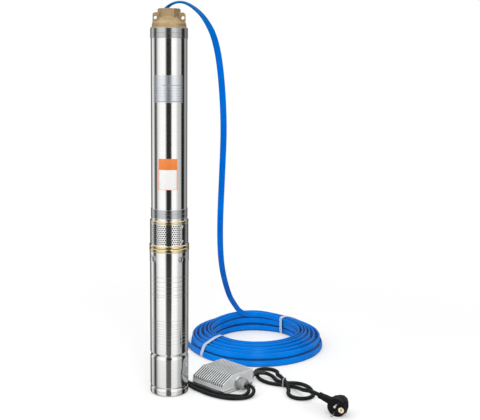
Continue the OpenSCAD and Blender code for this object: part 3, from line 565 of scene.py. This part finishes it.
ex, ez = (1, 0, 0), (0, 0, 1)
plug_parts = [cad_solid("plug_body")]
for k in range(4):
    y = -33.5 - 2.6 * k
    plug_parts.append(drum(plug_frame, [((-14, y + 0.8, 0), ex, ez, 6.0), ((-14, y + 0.5, 0), ex, ez, 6.7), ((-14, y - 0.5, 0), ex, ez, 6.7), ((-14, y - 0.8, 0), ex, ez, 6.0)], 32))
plug = fused("plug_moulding", plug_parts, 0.5, 3)

for o in (*ties, cord_band, head, motor_can, dimples, shade_liner, rules, housing, plug):
    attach(o, "pump")
for o in ties:
    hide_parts("coil_ties")
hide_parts("cord_tie")
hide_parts("discharge_head")
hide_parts("motor_shell")
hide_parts("box_housing")
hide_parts("plug_body")
SLOT_OF = [(ties[0], "white_tie"), (ties[1], "white_tie"), (cord_band, "grey_tie"), (head, "cast_brass"), (motor_can, "polished_steel"),
           (dimples, "satin_steel"), (shade_liner, "stage_plastic"), (rules, "plate_silver"), (housing, "die_cast"), (plug, "plug_plastic")]

for o in (flat, lead_a, lead_b, mains, mains_sleeve):
    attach(o, "pump")
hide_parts("drop_cable", "cable_coil", "cable_tail")
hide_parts("pump_leads")
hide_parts("pump_leads")
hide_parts("mains_cord")

# ------------------------------------------------------------------ stage and light
def node(nt, kind, **props):
    n = nt.nodes.new(kind)
    for k, v in props.items():
        setattr(n, k, v)
    return n


def ramp_node(nt, stops, interp="LINEAR"):
    r = nt.nodes.new("ShaderNodeValToRGB")
    r.color_ramp.interpolation = interp
    e = r.color_ramp.elements
    while len(e) > 1:
        e.remove(e[-1])
    for i, (p, c) in enumerate(stops):
        c = (c, c, c, 1) if isinstance(c, (int, float)) else (*c, 1)
        if i == 0:
            e[0].position, e[0].color = p, c
        else:
            k = e.new(p)
            k.color = c
    return r


scene.view_settings.view_transform = "Standard"
scene.view_settings.look = "None"
world = bpy.data.worlds.new("studio")
scene.world = world
world.use_nodes = True
wt = world.node_tree
wt.nodes.clear()
w_out = node(wt, "ShaderNodeOutputWorld")
w_bg = node(wt, "ShaderNodeBackground")
w_tc = node(wt, "ShaderNodeTexCoord")
w_xyz = node(wt, "ShaderNodeSeparateXYZ")
wt.links.new(w_tc.outputs["Generated"], w_xyz.inputs[0])
w_neg = node(wt, "ShaderNodeMath", operation="MULTIPLY")
w_neg.inputs[1].default_value = -1.0
wt.links.new(w_xyz.outputs["Y"], w_neg.inputs[0])
w_at = node(wt, "ShaderNodeMath", operation="ARCTAN2")
wt.links.new(w_xyz.outputs["X"], w_at.inputs[0])
wt.links.new(w_neg.outputs[0], w_at.inputs[1])
w_map = node(wt, "ShaderNodeMapRange")
w_map.inputs["From Min"].default_value = -math.pi
w_map.inputs["From Max"].default_value = math.pi
wt.links.new(w_at.outputs[0], w_map.inputs["Value"])


def az(deg):
    return (deg + 180) / 360


DARK, BRIGHT = 0.028, 1.08
w_ramp = ramp_node(wt, [
    (az(-180), 0.10), (az(-150), 0.13), (az(-136), 0.18), (az(-126), 0.80), (az(-117), 1.05), (az(-108), 0.72), (az(-99), 0.28),
    (az(-92), 0.05), (az(-84), 0.06), (az(-78), 0.50), (az(-70), 0.84), (az(-62), 1.04), (az(-50), 1.17), (az(45), 1.20),
    (az(52), 0.98), (az(60), 0.70), (az(68), 0.62), (az(82), 0.60), (az(86.5), 0.24), (az(90.5), 0.02), (az(105), 0.010), (az(111), 0.03),
    (az(118), 0.32), (az(126), 0.44), (az(141), 0.30), (az(155), 0.16), (az(179.9), 0.10)])
wt.links.new(w_map.outputs[0], w_ramp.inputs[0])
w_el = node(wt, "ShaderNodeMapRange", interpolation_type="SMOOTHSTEP")
w_el.inputs["From Min"].default_value = 0.34
w_el.inputs["From Max"].default_value = 0.62
wt.links.new(w_xyz.outputs["Z"], w_el.inputs["Value"])
w_mix = node(wt, "ShaderNodeMix", data_type="RGBA")
wt.links.new(w_el.outputs[0], w_mix.inputs["Factor"])
# the lower part of the wall is a little darker
w_dim = node(wt, "ShaderNodeMapRange", interpolation_type="SMOOTHSTEP")
w_dim.inputs["From Min"].default_value = -0.36
w_dim.inputs["From Max"].default_value = -0.26
w_dim.inputs["To Min"].default_value = 0.74
w_dim.inputs["To Max"].default_value = 1.0
wt.links.new(w_xyz.outputs["Z"], w_dim.inputs["Value"])
w_mul = node(wt, "ShaderNodeMix", data_type="RGBA", blend_type="MULTIPLY")
w_mul.inputs["Factor"].default_value = 1.0
wt.links.new(w_ramp.outputs[0], w_mul.inputs["A"])
wt.links.new(w_dim.outputs[0], w_mul.inputs["B"])
wt.links.new(w_mul.outputs["Result"], w_mix.inputs["A"])
w_mix.inputs["B"].default_value = (1.10, 1.11, 1.12, 1)
wt.links.new(w_mix.outputs["Result"], w_bg.inputs["Color"])
w_bg.inputs["Strength"].default_value = 1.0
wt.links.new(w_bg.outputs[0], w_out.inputs[0])


def disc(name, r, z, seg=96):
    A = np.linspace(0, 2 * np.pi, seg, endpoint=False)
    V = np.stack([r * np.cos(A) + 100, r * np.sin(A), np.full(seg, z)], 1)
    return mesh_object(name, V, [tuple(range(seg))], smooth=False)


floor = disc("floor", 7000, 0.0)
A = np.linspace(0, 2 * np.pi, 96, endpoint=False)
V = np.concatenate([np.stack([6900 * np.cos(A), 6900 * np.sin(A), np.full(96, z)], 1) for z in (-50.0, 2500.0)]
                   + [np.stack([4000 * np.cos(A), 4000 * np.sin(A), np.full(96, 6500.0)], 1)])
F = [(i, (i + 1) % 96, 96 + (i + 1) % 96, 96 + i) for i in range(96)] + [(96 + i, 96 + (i + 1) % 96, 192 + (i + 1) % 96, 192 + i) for i in range(96)]
F.append(tuple(192 + i for i in range(96)))
sweep_wall = mesh_object("backdrop", V, F)
for o in (floor, sweep_wall):
    o.visible_glossy = False
sweep_wall.visible_diffuse = False
sweep_wall.visible_shadow = False
sweep_wall.visible_transmission = False
# a narrow black flag in front of the pump, seen only in its polish
flag = mesh_object("flag", [[-118, -420, -900], [112, -420, -900], [112, -420, 0], [178, -420, 260], [178, -420, 2000], [-170, -420, 2000], [-170, -420, 260], [-118, -420, 0]], [(0, 1, 2, 3, 4, 5, 6, 7)], smooth=False)
flag.visible_camera = False
flag.visible_diffuse = False
flag.visible_shadow = False
flag.visible_transmission = False


def area(name, loc, target, sx, sy, power, color=(1, 1, 1)):
    d = bpy.data.lights.new(name, "AREA")
    d.shape = "RECTANGLE"
    d.size, d.size_y, d.energy, d.color = sx, sy, power, color
    o = link(bpy.data.objects.new(name, d))
    o.location = loc
    o.rotation_euler = (Vector(target) - Vector(loc)).to_track_quat("-Z", "Y").to_euler()
    return o


key = area("key", (0.42, -1.95, 1.75), (0.15, 0.1, 0.1), 0.75, 0.26, 15)
side = area("side", (-1.7, -1.1, 1.15), (0.0, 0.0, 0.6), 0.8, 1.2, 7)
top = area("top", (-0.3, 0.1, 2.6), (0.1, 0.1, 0.2), 2.2, 2.2, 9)
side.visible_glossy = False
flat.visible_glossy = False
# a small lamp on the coil alone
_ld = bpy.data.lights.new("coil_lamp", "SPOT")
_ld.energy, _ld.shadow_soft_size, _ld.spot_size, _ld.spot_blend = 17.0, 0.10, math.radians(21), 0.6
lamp = link(bpy.data.objects.new("coil_lamp", _ld))
lamp.location = (0.26, -1.15, 1.05)
lamp.rotation_euler = (Vector((0.185, 0.315, 0.0)) - lamp.location).to_track_quat("-Z", "Y").to_euler()
lit = bpy.data.collections.new("coil_lamp_on")
lit.objects.link(flat)
lamp.light_linking.receiver_collection = lit

# ------------------------------------------------------------------ materials


def lin(r, g, b):
    return tuple((c / 255 / 12.92) if c / 255 <= 0.04045 else ((c / 255 + 0.055) / 1.055) ** 2.4 for c in (r, g, b))


class Mat:
    """A material of one principled shader, with helpers for the texture nodes that drive it."""

    def __init__(self, name, **sockets):
        self.m = bpy.data.materials.new(name)
        self.m.use_nodes = True
        self.nt = self.m.node_tree
        self.nt.nodes.clear()
        self.out = node(self.nt, "ShaderNodeOutputMaterial")
        self.b = node(self.nt, "ShaderNodeBsdfPrincipled")
        self.nt.links.new(self.b.outputs[0], self.out.inputs[0])
        self.tc = node(self.nt, "ShaderNodeTexCoord")
        for k, v in sockets.items():
            s = self.b.inputs[k.replace("_", " ")]
            s.default_value = (*v, 1) if isinstance(v, tuple) and len(v) == 3 else v

    def coords(self, scale=(1, 1, 1), rot=(0, 0, 0)):
        mp = node(self.nt, "ShaderNodeMapping")
        mp.inputs["Scale"].default_value = scale
        mp.inputs["Rotation"].default_value = rot
        self.nt.links.new(self.tc.outputs["Object"], mp.inputs["Vector"])
        return mp.outputs[0]

    def noise(self, scale, detail=3.0, rough=0.5, vec=None, distort=0.0):
        n = node(self.nt, "ShaderNodeTexNoise")
        n.inputs["Scale"].default_value = scale
        n.inputs["Detail"].default_value = detail
        n.inputs["Roughness"].default_value = rough
        n.inputs["Distortion"].default_value = distort
        self.nt.links.new(vec if vec is not None else self.tc.outputs["Object"], n.inputs["Vector"])
        return n.outputs["Fac"]

    def ramp(self, fac, stops, socket=None):
        r = ramp_node(self.nt, stops)
        self.nt.links.new(fac, r.inputs[0])
        if socket:
            self.nt.links.new(r.outputs[0], self.b.inputs[socket])
        return r.outputs[0]

    def bump(self, height, strength, dist, prev=None):
        b = node(self.nt, "ShaderNodeBump")
        b.inputs["Strength"].default_value = strength
        b.inputs["Distance"].default_value = dist
        self.nt.links.new(height, b.inputs["Height"])
        if prev is not None:
            self.nt.links.new(prev, b.inputs["Normal"])
        self.nt.links.new(b.outputs[0], self.b.inputs["Normal"])
        return b.outputs[0]


def varied(name, lo, hi, scale, rough, bump=None, detail=4.0, **sockets):
    """Colour between two tones and roughness between two values, both by noise, with a fine grain."""
    m = Mat(name, **sockets)
    n = m.noise(scale, detail)
    m.ramp(n, [(0.3, lo), (0.7, hi)], "Base Color")
    n2 = m.noise(scale * 2.3, detail, 0.6)
    m.ramp(n2, [(0.3, rough[0]), (0.7, rough[1])], "Roughness")
    if bump:
        m.bump(m.noise(bump[0], 3.0), bump[1], bump[2])
    return m


def brushed(name, lo, hi, rough, lines, strength, **sockets):
    """Turned metal: fine rings about the axis that change the roughness and tilt the surface a little."""
    m = Mat(name, Metallic=1.0, **sockets)
    v = m.coords((14, 14, lines))
    n = m.noise(1.0, 4.0, 0.6, vec=v)
    m.ramp(n, [(0.25, lo), (0.75, hi)], "Base Color")
    n2 = m.noise(1.0, 3.0, 0.55, vec=m.coords((30, 30, lines * 1.7)))
    m.ramp(n2, [(0.3, rough[0]), (0.7, rough[1])], "Roughness")
    m.bump(n, strength, 0.0002)
    return m


M = {}
M["polished_steel"] = brushed("polished_steel", (0.80, 0.80, 0.79), (0.86, 0.86, 0.85), (0.09, 0.14), 900, 0.012)
M["satin_steel"] = brushed("satin_steel", (0.46, 0.465, 0.47), (0.54, 0.545, 0.55), (0.16, 0.23), 2600, 0.03)
M["fastener_steel"] = varied("fastener_steel", (0.62, 0.62, 0.62), (0.74, 0.74, 0.74), 160, (0.18, 0.30), (1800, 0.05, 0.0002), Metallic=1.0)
M["cast_brass"] = varied("cast_brass", lin(162, 138, 102), lin(176, 152, 114), 50, (0.38, 0.50), (1500, 0.22, 0.0004), Metallic=0.60)
M["bright_brass"] = brushed("bright_brass", (0.70, 0.575, 0.33), (0.81, 0.69, 0.43), (0.14, 0.24), 1500, 0.03)
M["bearing_bronze"] = varied("bearing_bronze", (0.50, 0.30, 0.13), (0.62, 0.40, 0.18), 120, (0.25, 0.4), (900, 0.1, 0.0003), Metallic=1.0)
M["copper_winding"] = brushed("copper_winding", (0.45, 0.16, 0.06), (0.70, 0.29, 0.12), (0.25, 0.45), 1600, 0.5)
M["lamination"] = brushed("lamination", (0.20, 0.20, 0.21), (0.34, 0.34, 0.35), (0.35, 0.5), 2000, 0.4)
M["cast_iron"] = varied("cast_iron", (0.16, 0.16, 0.16), (0.24, 0.24, 0.24), 120, (0.45, 0.6), (900, 0.3, 0.0004), Metallic=0.8)
M["black_rubber"] = varied("black_rubber", (0.010, 0.010, 0.011), (0.020, 0.020, 0.021), 130, (0.5, 0.65), (1800, 0.12, 0.0003))
M["stage_plastic"] = varied("stage_plastic", (0.028, 0.028, 0.032), (0.05, 0.05, 0.055), 110, (0.35, 0.5), (1500, 0.08, 0.0003))
M["impeller_plastic"] = varied("impeller_plastic", (0.55, 0.53, 0.45), (0.66, 0.64, 0.56), 90, (0.35, 0.5), (1200, 0.06, 0.0003))
M["ceramic"] = varied("ceramic", (0.74, 0.73, 0.69), (0.82, 0.81, 0.78), 140, (0.15, 0.25), (1500, 0.04, 0.0002))
M["die_cast"] = varied("die_cast", lin(212, 214, 214), lin(230, 232, 232), 60, (0.42, 0.56), (1600, 0.22, 0.0003), Metallic=0.35)
M["capacitor_case"] = varied("capacitor_case", (0.62, 0.62, 0.60), (0.72, 0.72, 0.70), 80, (0.3, 0.42), (1500, 0.05, 0.0002))
M["terminal_plastic"] = varied("terminal_plastic", (0.05, 0.15, 0.08), (0.08, 0.21, 0.12), 90, (0.35, 0.5), (1500, 0.06, 0.0002))
M["black_jacket"] = varied("black_jacket", (0.0045, 0.0056, 0.0066), (0.0090, 0.0106, 0.0122), 45, (0.30, 0.44), (1400, 0.10, 0.0003), Specular_IOR_Level=0.14)
M["plug_plastic"] = varied("plug_plastic", (0.0040, 0.0040, 0.0043), (0.0080, 0.0080, 0.0084), 60, (0.34, 0.46), (1600, 0.14, 0.0003), Specular_IOR_Level=0.14)
M["white_tie"] = varied("white_tie", lin(168, 180, 202), lin(192, 203, 222), 90, (0.34, 0.48), (1100, 0.10, 0.0003))
M["grey_tie"] = varied("grey_tie", lin(118, 122, 124), lin(150, 154, 156), 110, (0.35, 0.5), (1300, 0.10, 0.0003))
M["socket_insert"] = varied("socket_insert", lin(222, 200, 172), lin(236, 218, 192), 150, (0.3, 0.42), (1500, 0.05, 0.0002))
M["plate_silver"] = brushed("plate_silver", (0.68, 0.715, 0.75), (0.80, 0.83, 0.865), (0.26, 0.36), 1400, 0.03)
M["rule_ink"] = varied("rule_ink", lin(112, 114, 120), lin(132, 134, 140), 120, (0.4, 0.5), (900, 0.03, 0.0002))
# the tag is white below and orange above, with an orange edge
tag = Mat("tag_film")
_z = node(tag.nt, "ShaderNodeSeparateXYZ")
tag.nt.links.new(tag.tc.outputs["Object"], _z.inputs[0])
_mr = node(tag.nt, "ShaderNodeMapRange")
_mr.inputs["From Min"].default_value = 0.418
_mr.inputs["From Max"].default_value = 0.480
tag.nt.links.new(_z.outputs["Z"], _mr.inputs["Value"])
_two = tag.ramp(_mr.outputs[0], [(0.0, lin(212, 212, 210)), (0.635, lin(216, 216, 214)), (0.650, lin(208, 112, 42)), (1.0, lin(214, 122, 52))])
_edge = tag.ramp(_mr.outputs[0], [(0.0, lin(226, 112, 44)), (1.0, lin(228, 122, 48))])
_tx = [v.co.x for v in NODE["colour_tag"].data.vertices]
_mx = node(tag.nt, "ShaderNodeMapRange")
_mx.inputs["From Min"].default_value = min(_tx)
_mx.inputs["From Max"].default_value = max(_tx)
tag.nt.links.new(_z.outputs["X"], _mx.inputs["Value"])
_sides = tag.ramp(_mx.outputs[0], [(0.0, 1.0), (0.036, 1.0), (0.044, 0.0), (0.956, 0.0), (0.964, 1.0), (1.0, 1.0)])
_foot = tag.ramp(_mr.outputs[0], [(0.0, 1.0), (0.024, 1.0), (0.030, 0.0), (1.0, 0.0)])
_any = node(tag.nt, "ShaderNodeMath", operation="MAXIMUM")
tag.nt.links.new(_sides, _any.inputs[0])
tag.nt.links.new(_foot, _any.inputs[1])
_bm = node(tag.nt, "ShaderNodeMix", data_type="RGBA")
tag.nt.links.new(_any.outputs[0], _bm.inputs["Factor"])
tag.nt.links.new(_two, _bm.inputs["A"])
tag.nt.links.new(_edge, _bm.inputs["B"])
tag.nt.links.new(_bm.outputs["Result"], tag.b.inputs["Base Color"])
tag.ramp(tag.noise(40, 4.0), [(0.3, 0.28), (0.7, 0.36)], "Roughness")
tag.bump(tag.noise(900, 3.0), 0.03, 0.0002)
M["tag_film"] = tag

blue = Mat("blue_jacket")
_n1 = blue.noise(18, 4.0, 0.55)
blue.ramp(_n1, [(0.30, lin(0, 104, 194)), (0.70, lin(0, 117, 211))], "Base Color")
blue.b.inputs["Specular IOR Level"].default_value = 0.12
blue.b.inputs["Specular Tint"].default_value = (0.05, 0.5, 1.0, 1.0)
blue.ramp(blue.noise(60, 4.0, 0.6), [(0.3, 0.27), (0.7, 0.38)], "Roughness")
blue.bump(blue.noise(700, 3.0), 0.06, 0.0004)
M["blue_jacket"] = blue

fl = varied("studio_floor", (0.62, 0.62, 0.615), (0.64, 0.64, 0.635), 0.6, (0.8, 0.9))
fl.b.inputs["Emission Color"].default_value = (1.0, 0.99, 0.975, 1)
fl.b.inputs["Emission Strength"].default_value = 0.25
fl.b.inputs["Specular IOR Level"].default_value = 0.0
# away from the object the floor runs into the white of the backdrop
_mp = node(fl.nt, "ShaderNodeMapping")
_mp.inputs["Location"].default_value = (-0.15, -0.17, 0)
fl.nt.links.new(fl.tc.outputs["Object"], _mp.inputs["Vector"])
_ln = node(fl.nt, "ShaderNodeVectorMath", operation="LENGTH")
fl.nt.links.new(_mp.outputs[0], _ln.inputs[0])
_fd = node(fl.nt, "ShaderNodeMapRange", interpolation_type="SMOOTHSTEP")
_fd.inputs["From Min"].default_value = 0.50
_fd.inputs["From Max"].default_value = 1.00
fl.nt.links.new(_ln.outputs["Value"], _fd.inputs["Value"])
_em = node(fl.nt, "ShaderNodeEmission")
_em.inputs["Color"].default_value = (1.0, 1.0, 1.0, 1)
_mx = node(fl.nt, "ShaderNodeMixShader")
fl.nt.links.new(_fd.outputs[0], _mx.inputs[0])
fl.nt.links.new(fl.b.outputs[0], _mx.inputs[1])
fl.nt.links.new(_em.outputs[0], _mx.inputs[2])
fl.nt.links.new(_mx.outputs[0], fl.out.inputs[0])
floor.data.materials.append(fl.m)
bk = bpy.data.materials.new("studio_backdrop")
bk.use_nodes = True
bk.node_tree.nodes.clear()
_o = node(bk.node_tree, "ShaderNodeOutputMaterial")
_e = node(bk.node_tree, "ShaderNodeEmission")
_e.inputs["Strength"].default_value = 1.0
_e.inputs["Color"].default_value = (1.0, 1.0, 1.0, 1)
bk.node_tree.links.new(_e.outputs[0], _o.inputs[0])
sweep_wall.data.materials.append(bk)
fg = bpy.data.materials.new("studio_flag")
fg.use_nodes = True
fg.node_tree.nodes.clear()
_o = node(fg.node_tree, "ShaderNodeOutputMaterial")
_e = node(fg.node_tree, "ShaderNodeEmission")
_t = node(fg.node_tree, "ShaderNodeBsdfTransparent")
_c = node(fg.node_tree, "ShaderNodeTexCoord")
_x = node(fg.node_tree, "ShaderNodeSeparateXYZ")
fg.node_tree.links.new(_c.outputs["Object"], _x.inputs[0])
# near the floor the flag takes some light from it
_h = node(fg.node_tree, "ShaderNodeMapRange")
_h.inputs["From Min"].default_value = 0.0
_h.inputs["From Max"].default_value = 0.24
fg.node_tree.links.new(_x.outputs["Z"], _h.inputs["Value"])
_hr = ramp_node(fg.node_tree, [(0.0, (0.12, 0.12, 0.117)), (0.45, (0.06, 0.06, 0.058)), (1.0, (0.024, 0.024, 0.023))])
fg.node_tree.links.new(_h.outputs[0], _hr.inputs[0])
fg.node_tree.links.new(_hr.outputs[0], _e.inputs["Color"])
_m = node(fg.node_tree, "ShaderNodeMapRange")
_m.inputs["From Min"].default_value = -0.170
_m.inputs["From Max"].default_value = 0.178
fg.node_tree.links.new(_x.outputs["X"], _m.inputs["Value"])
_r = ramp_node(fg.node_tree, [(0.0, 0.0), (0.05, 0.05), (0.25, 0.95), (0.29, 1.0), (0.78, 1.0), (0.82, 0.95), (0.97, 0.05), (1.0, 0.0)])
fg.node_tree.links.new(_m.outputs[0], _r.inputs[0])
_s = node(fg.node_tree, "ShaderNodeMixShader")
fg.node_tree.links.new(_r.outputs[0], _s.inputs[0])
fg.node_tree.links.new(_t.outputs[0], _s.inputs[1])
fg.node_tree.links.new(_e.outputs[0], _s.inputs[2])
fg.node_tree.links.new(_s.outputs[0], _o.inputs[0])
flag.data.materials.append(fg)


def tinted(m, fac, stops):
    """Multiply the colour of a material by a ramp of the given value."""
    src = m.b.inputs["Base Color"].links[0].from_socket
    mul = node(m.nt, "ShaderNodeMix", data_type="RGBA", blend_type="MULTIPLY")
    mul.inputs["Factor"].default_value = 1.0
    m.nt.links.new(src, mul.inputs["A"])
    m.nt.links.new(m.ramp(fac, stops), mul.inputs["B"])
    m.nt.links.new(mul.outputs["Result"], m.b.inputs["Base Color"])


def painted_crevice_shade(m, dist, stops):
    """Painted shade: the colour is darkened by ambient occlusion where the surface is hemmed in."""
    ao = node(m.nt, "ShaderNodeAmbientOcclusion")
    ao.inputs["Distance"].default_value = dist
    tinted(m, ao.outputs["AO"], stops)


def painted_shade_inside(m, r):
    """Painted shade: everything nearer to the pump's axis than r is darkened almost to black."""
    mp = node(m.nt, "ShaderNodeMapping")
    mp.inputs["Scale"].default_value = (1, 1, 0)
    m.nt.links.new(m.tc.outputs["Object"], mp.inputs["Vector"])
    ln = node(m.nt, "ShaderNodeVectorMath", operation="LENGTH")
    m.nt.links.new(mp.outputs[0], ln.inputs[0])
    mr = node(m.nt, "ShaderNodeMapRange")
    mr.inputs["From Min"].default_value = r - 0.0004
    mr.inputs["From Max"].default_value = r
    m.nt.links.new(ln.outputs["Value"], mr.inputs["Value"])
    tinted(m, mr.outputs[0], [(0.0, 0.03), (1.0, 1.0)])


# painted shade: the inner corners of the cast head are darkened
painted_crevice_shade(M["cast_brass"], 0.009, [(0.35, 0.45), (0.85, 1.0)])
# painted shade: the gaps between the lid's fins are darkened
painted_crevice_shade(M["die_cast"], 0.006, [(0.42, 0.13), (0.80, 1.0)])
M["strainer_steel"] = brushed("strainer_steel", (0.80, 0.80, 0.79), (0.86, 0.86, 0.85), (0.09, 0.14), 900, 0.012)
# painted shade: the insides of the strainer and of the brass ring are darkened, so the holes show dark
painted_shade_inside(M["strainer_steel"], 0.0379)
painted_shade_inside(M["bright_brass"], 0.0368)
# the bracket has a steel neck over its brass ring
neck = brushed("bracket_brass", (0.70, 0.575, 0.33), (0.81, 0.69, 0.43), (0.14, 0.24), 1500, 0.03)
_nz = node(neck.nt, "ShaderNodeSeparateXYZ")
neck.nt.links.new(neck.tc.outputs["Object"], _nz.inputs[0])
_nm = node(neck.nt, "ShaderNodeMapRange")
_nm.inputs["From Min"].default_value = 0.3564
_nm.inputs["From Max"].default_value = 0.3569
neck.nt.links.new(_nz.outputs["Z"], _nm.inputs["Value"])
_nr = node(neck.nt, "ShaderNodeMapRange")
_nr.inputs["From Min"].default_value = 0.0364
_nr.inputs["From Max"].default_value = 0.0368
_np = node(neck.nt, "ShaderNodeMapping")
_np.inputs["Scale"].default_value = (1, 1, 0)
neck.nt.links.new(neck.tc.outputs["Object"], _np.inputs["Vector"])
_nl = node(neck.nt, "ShaderNodeVectorMath", operation="LENGTH")
neck.nt.links.new(_np.outputs[0], _nl.inputs[0])
neck.nt.links.new(_nl.outputs["Value"], _nr.inputs["Value"])
# painted shade: the bracket's inner surface below the neck is darkened almost to black
_na = node(neck.nt, "ShaderNodeMath", operation="MAXIMUM")
neck.nt.links.new(_nr.outputs[0], _na.inputs[0])
neck.nt.links.new(_nm.outputs[0], _na.inputs[1])
tinted(neck, _na.outputs[0], [(0.0, 0.03), (1.0, 1.0)])
tinted(neck, _nm.outputs[0], [(0.0, (1, 1, 1)), (1.0, (1.06, 1.28, 2.1))])
M["bracket_brass"] = neck
# painted light: the hanging part of the blue cable is tinted a touch deeper than the coil, standing in for the
# different light on it
_bz = node(blue.nt, "ShaderNodeSeparateXYZ")
blue.nt.links.new(blue.tc.outputs["Object"], _bz.inputs[0])
_bf = node(blue.nt, "ShaderNodeMapRange")
_bf.inputs["From Min"].default_value = 0.055
_bf.inputs["From Max"].default_value = 0.14
blue.nt.links.new(_bz.outputs["Z"], _bf.inputs["Value"])
tinted(blue, _bf.outputs[0], [(0.0, (1.0, 1.0, 1.0)), (1.0, (1.0, 0.80, 0.96))])
# painted shade: the top of the hanging cable, near the head, is darkened, the blue most
_bt = node(blue.nt, "ShaderNodeMapRange")
_bt.inputs["From Min"].default_value = 0.66
_bt.inputs["From Max"].default_value = 0.77
blue.nt.links.new(_bz.outputs["Z"], _bt.inputs["Value"])
tinted(blue, _bt.outputs[0], [(0.0, (1.0, 1.0, 1.0)), (1.0, (1.0, 0.82, 0.58))])
# painted shade: the gaps between the coil's turns are darkened
painted_crevice_shade(blue, 0.007, [(0.30, 0.16), (0.82, 1.0)])
blue.ramp(_bf.outputs[0], [(0.0, 0.06), (0.6, 0.0)], "Coat Weight")
blue.b.inputs["Coat Roughness"].default_value = 0.22
gland = varied("gland_metal", lin(138, 140, 140), lin(166, 168, 168), 90, (0.34, 0.48), (1400, 0.14, 0.0003), Metallic=0.45)
M["gland_metal"] = gland


def paint(obj, slot_name):
    if obj.material_slots:
        for s in obj.material_slots:
            s.material = M[slot_name].m
    else:
        obj.data.materials.append(M[slot_name].m)


# every CAD node takes the finish of its own slot
for name, obj in NODE.items():
    for s in obj.material_slots:
        base = s.material.name.split(".")[0] if s.material else None
        if base in M:
            s.material = M[base].m
for o in (lead_a, lead_b, mains):
    paint(o, "black_jacket")
paint(mains_sleeve, "black_rubber")
paint(flat, "blue_jacket")
for o, k in SLOT_OF:
    paint(o, "rule_ink" if o is rules else k)
for s in NODE["motor_collar"].material_slots:
    s.material = M["polished_steel"].m
for name, k in (("strainer", "strainer_steel"), ("inlet_bracket", "bracket_brass"), ("gland_bodies", "gland_metal"), ("gland_nuts", "gland_metal")):
    for s in NODE[name].material_slots:
        s.material = M[k].m
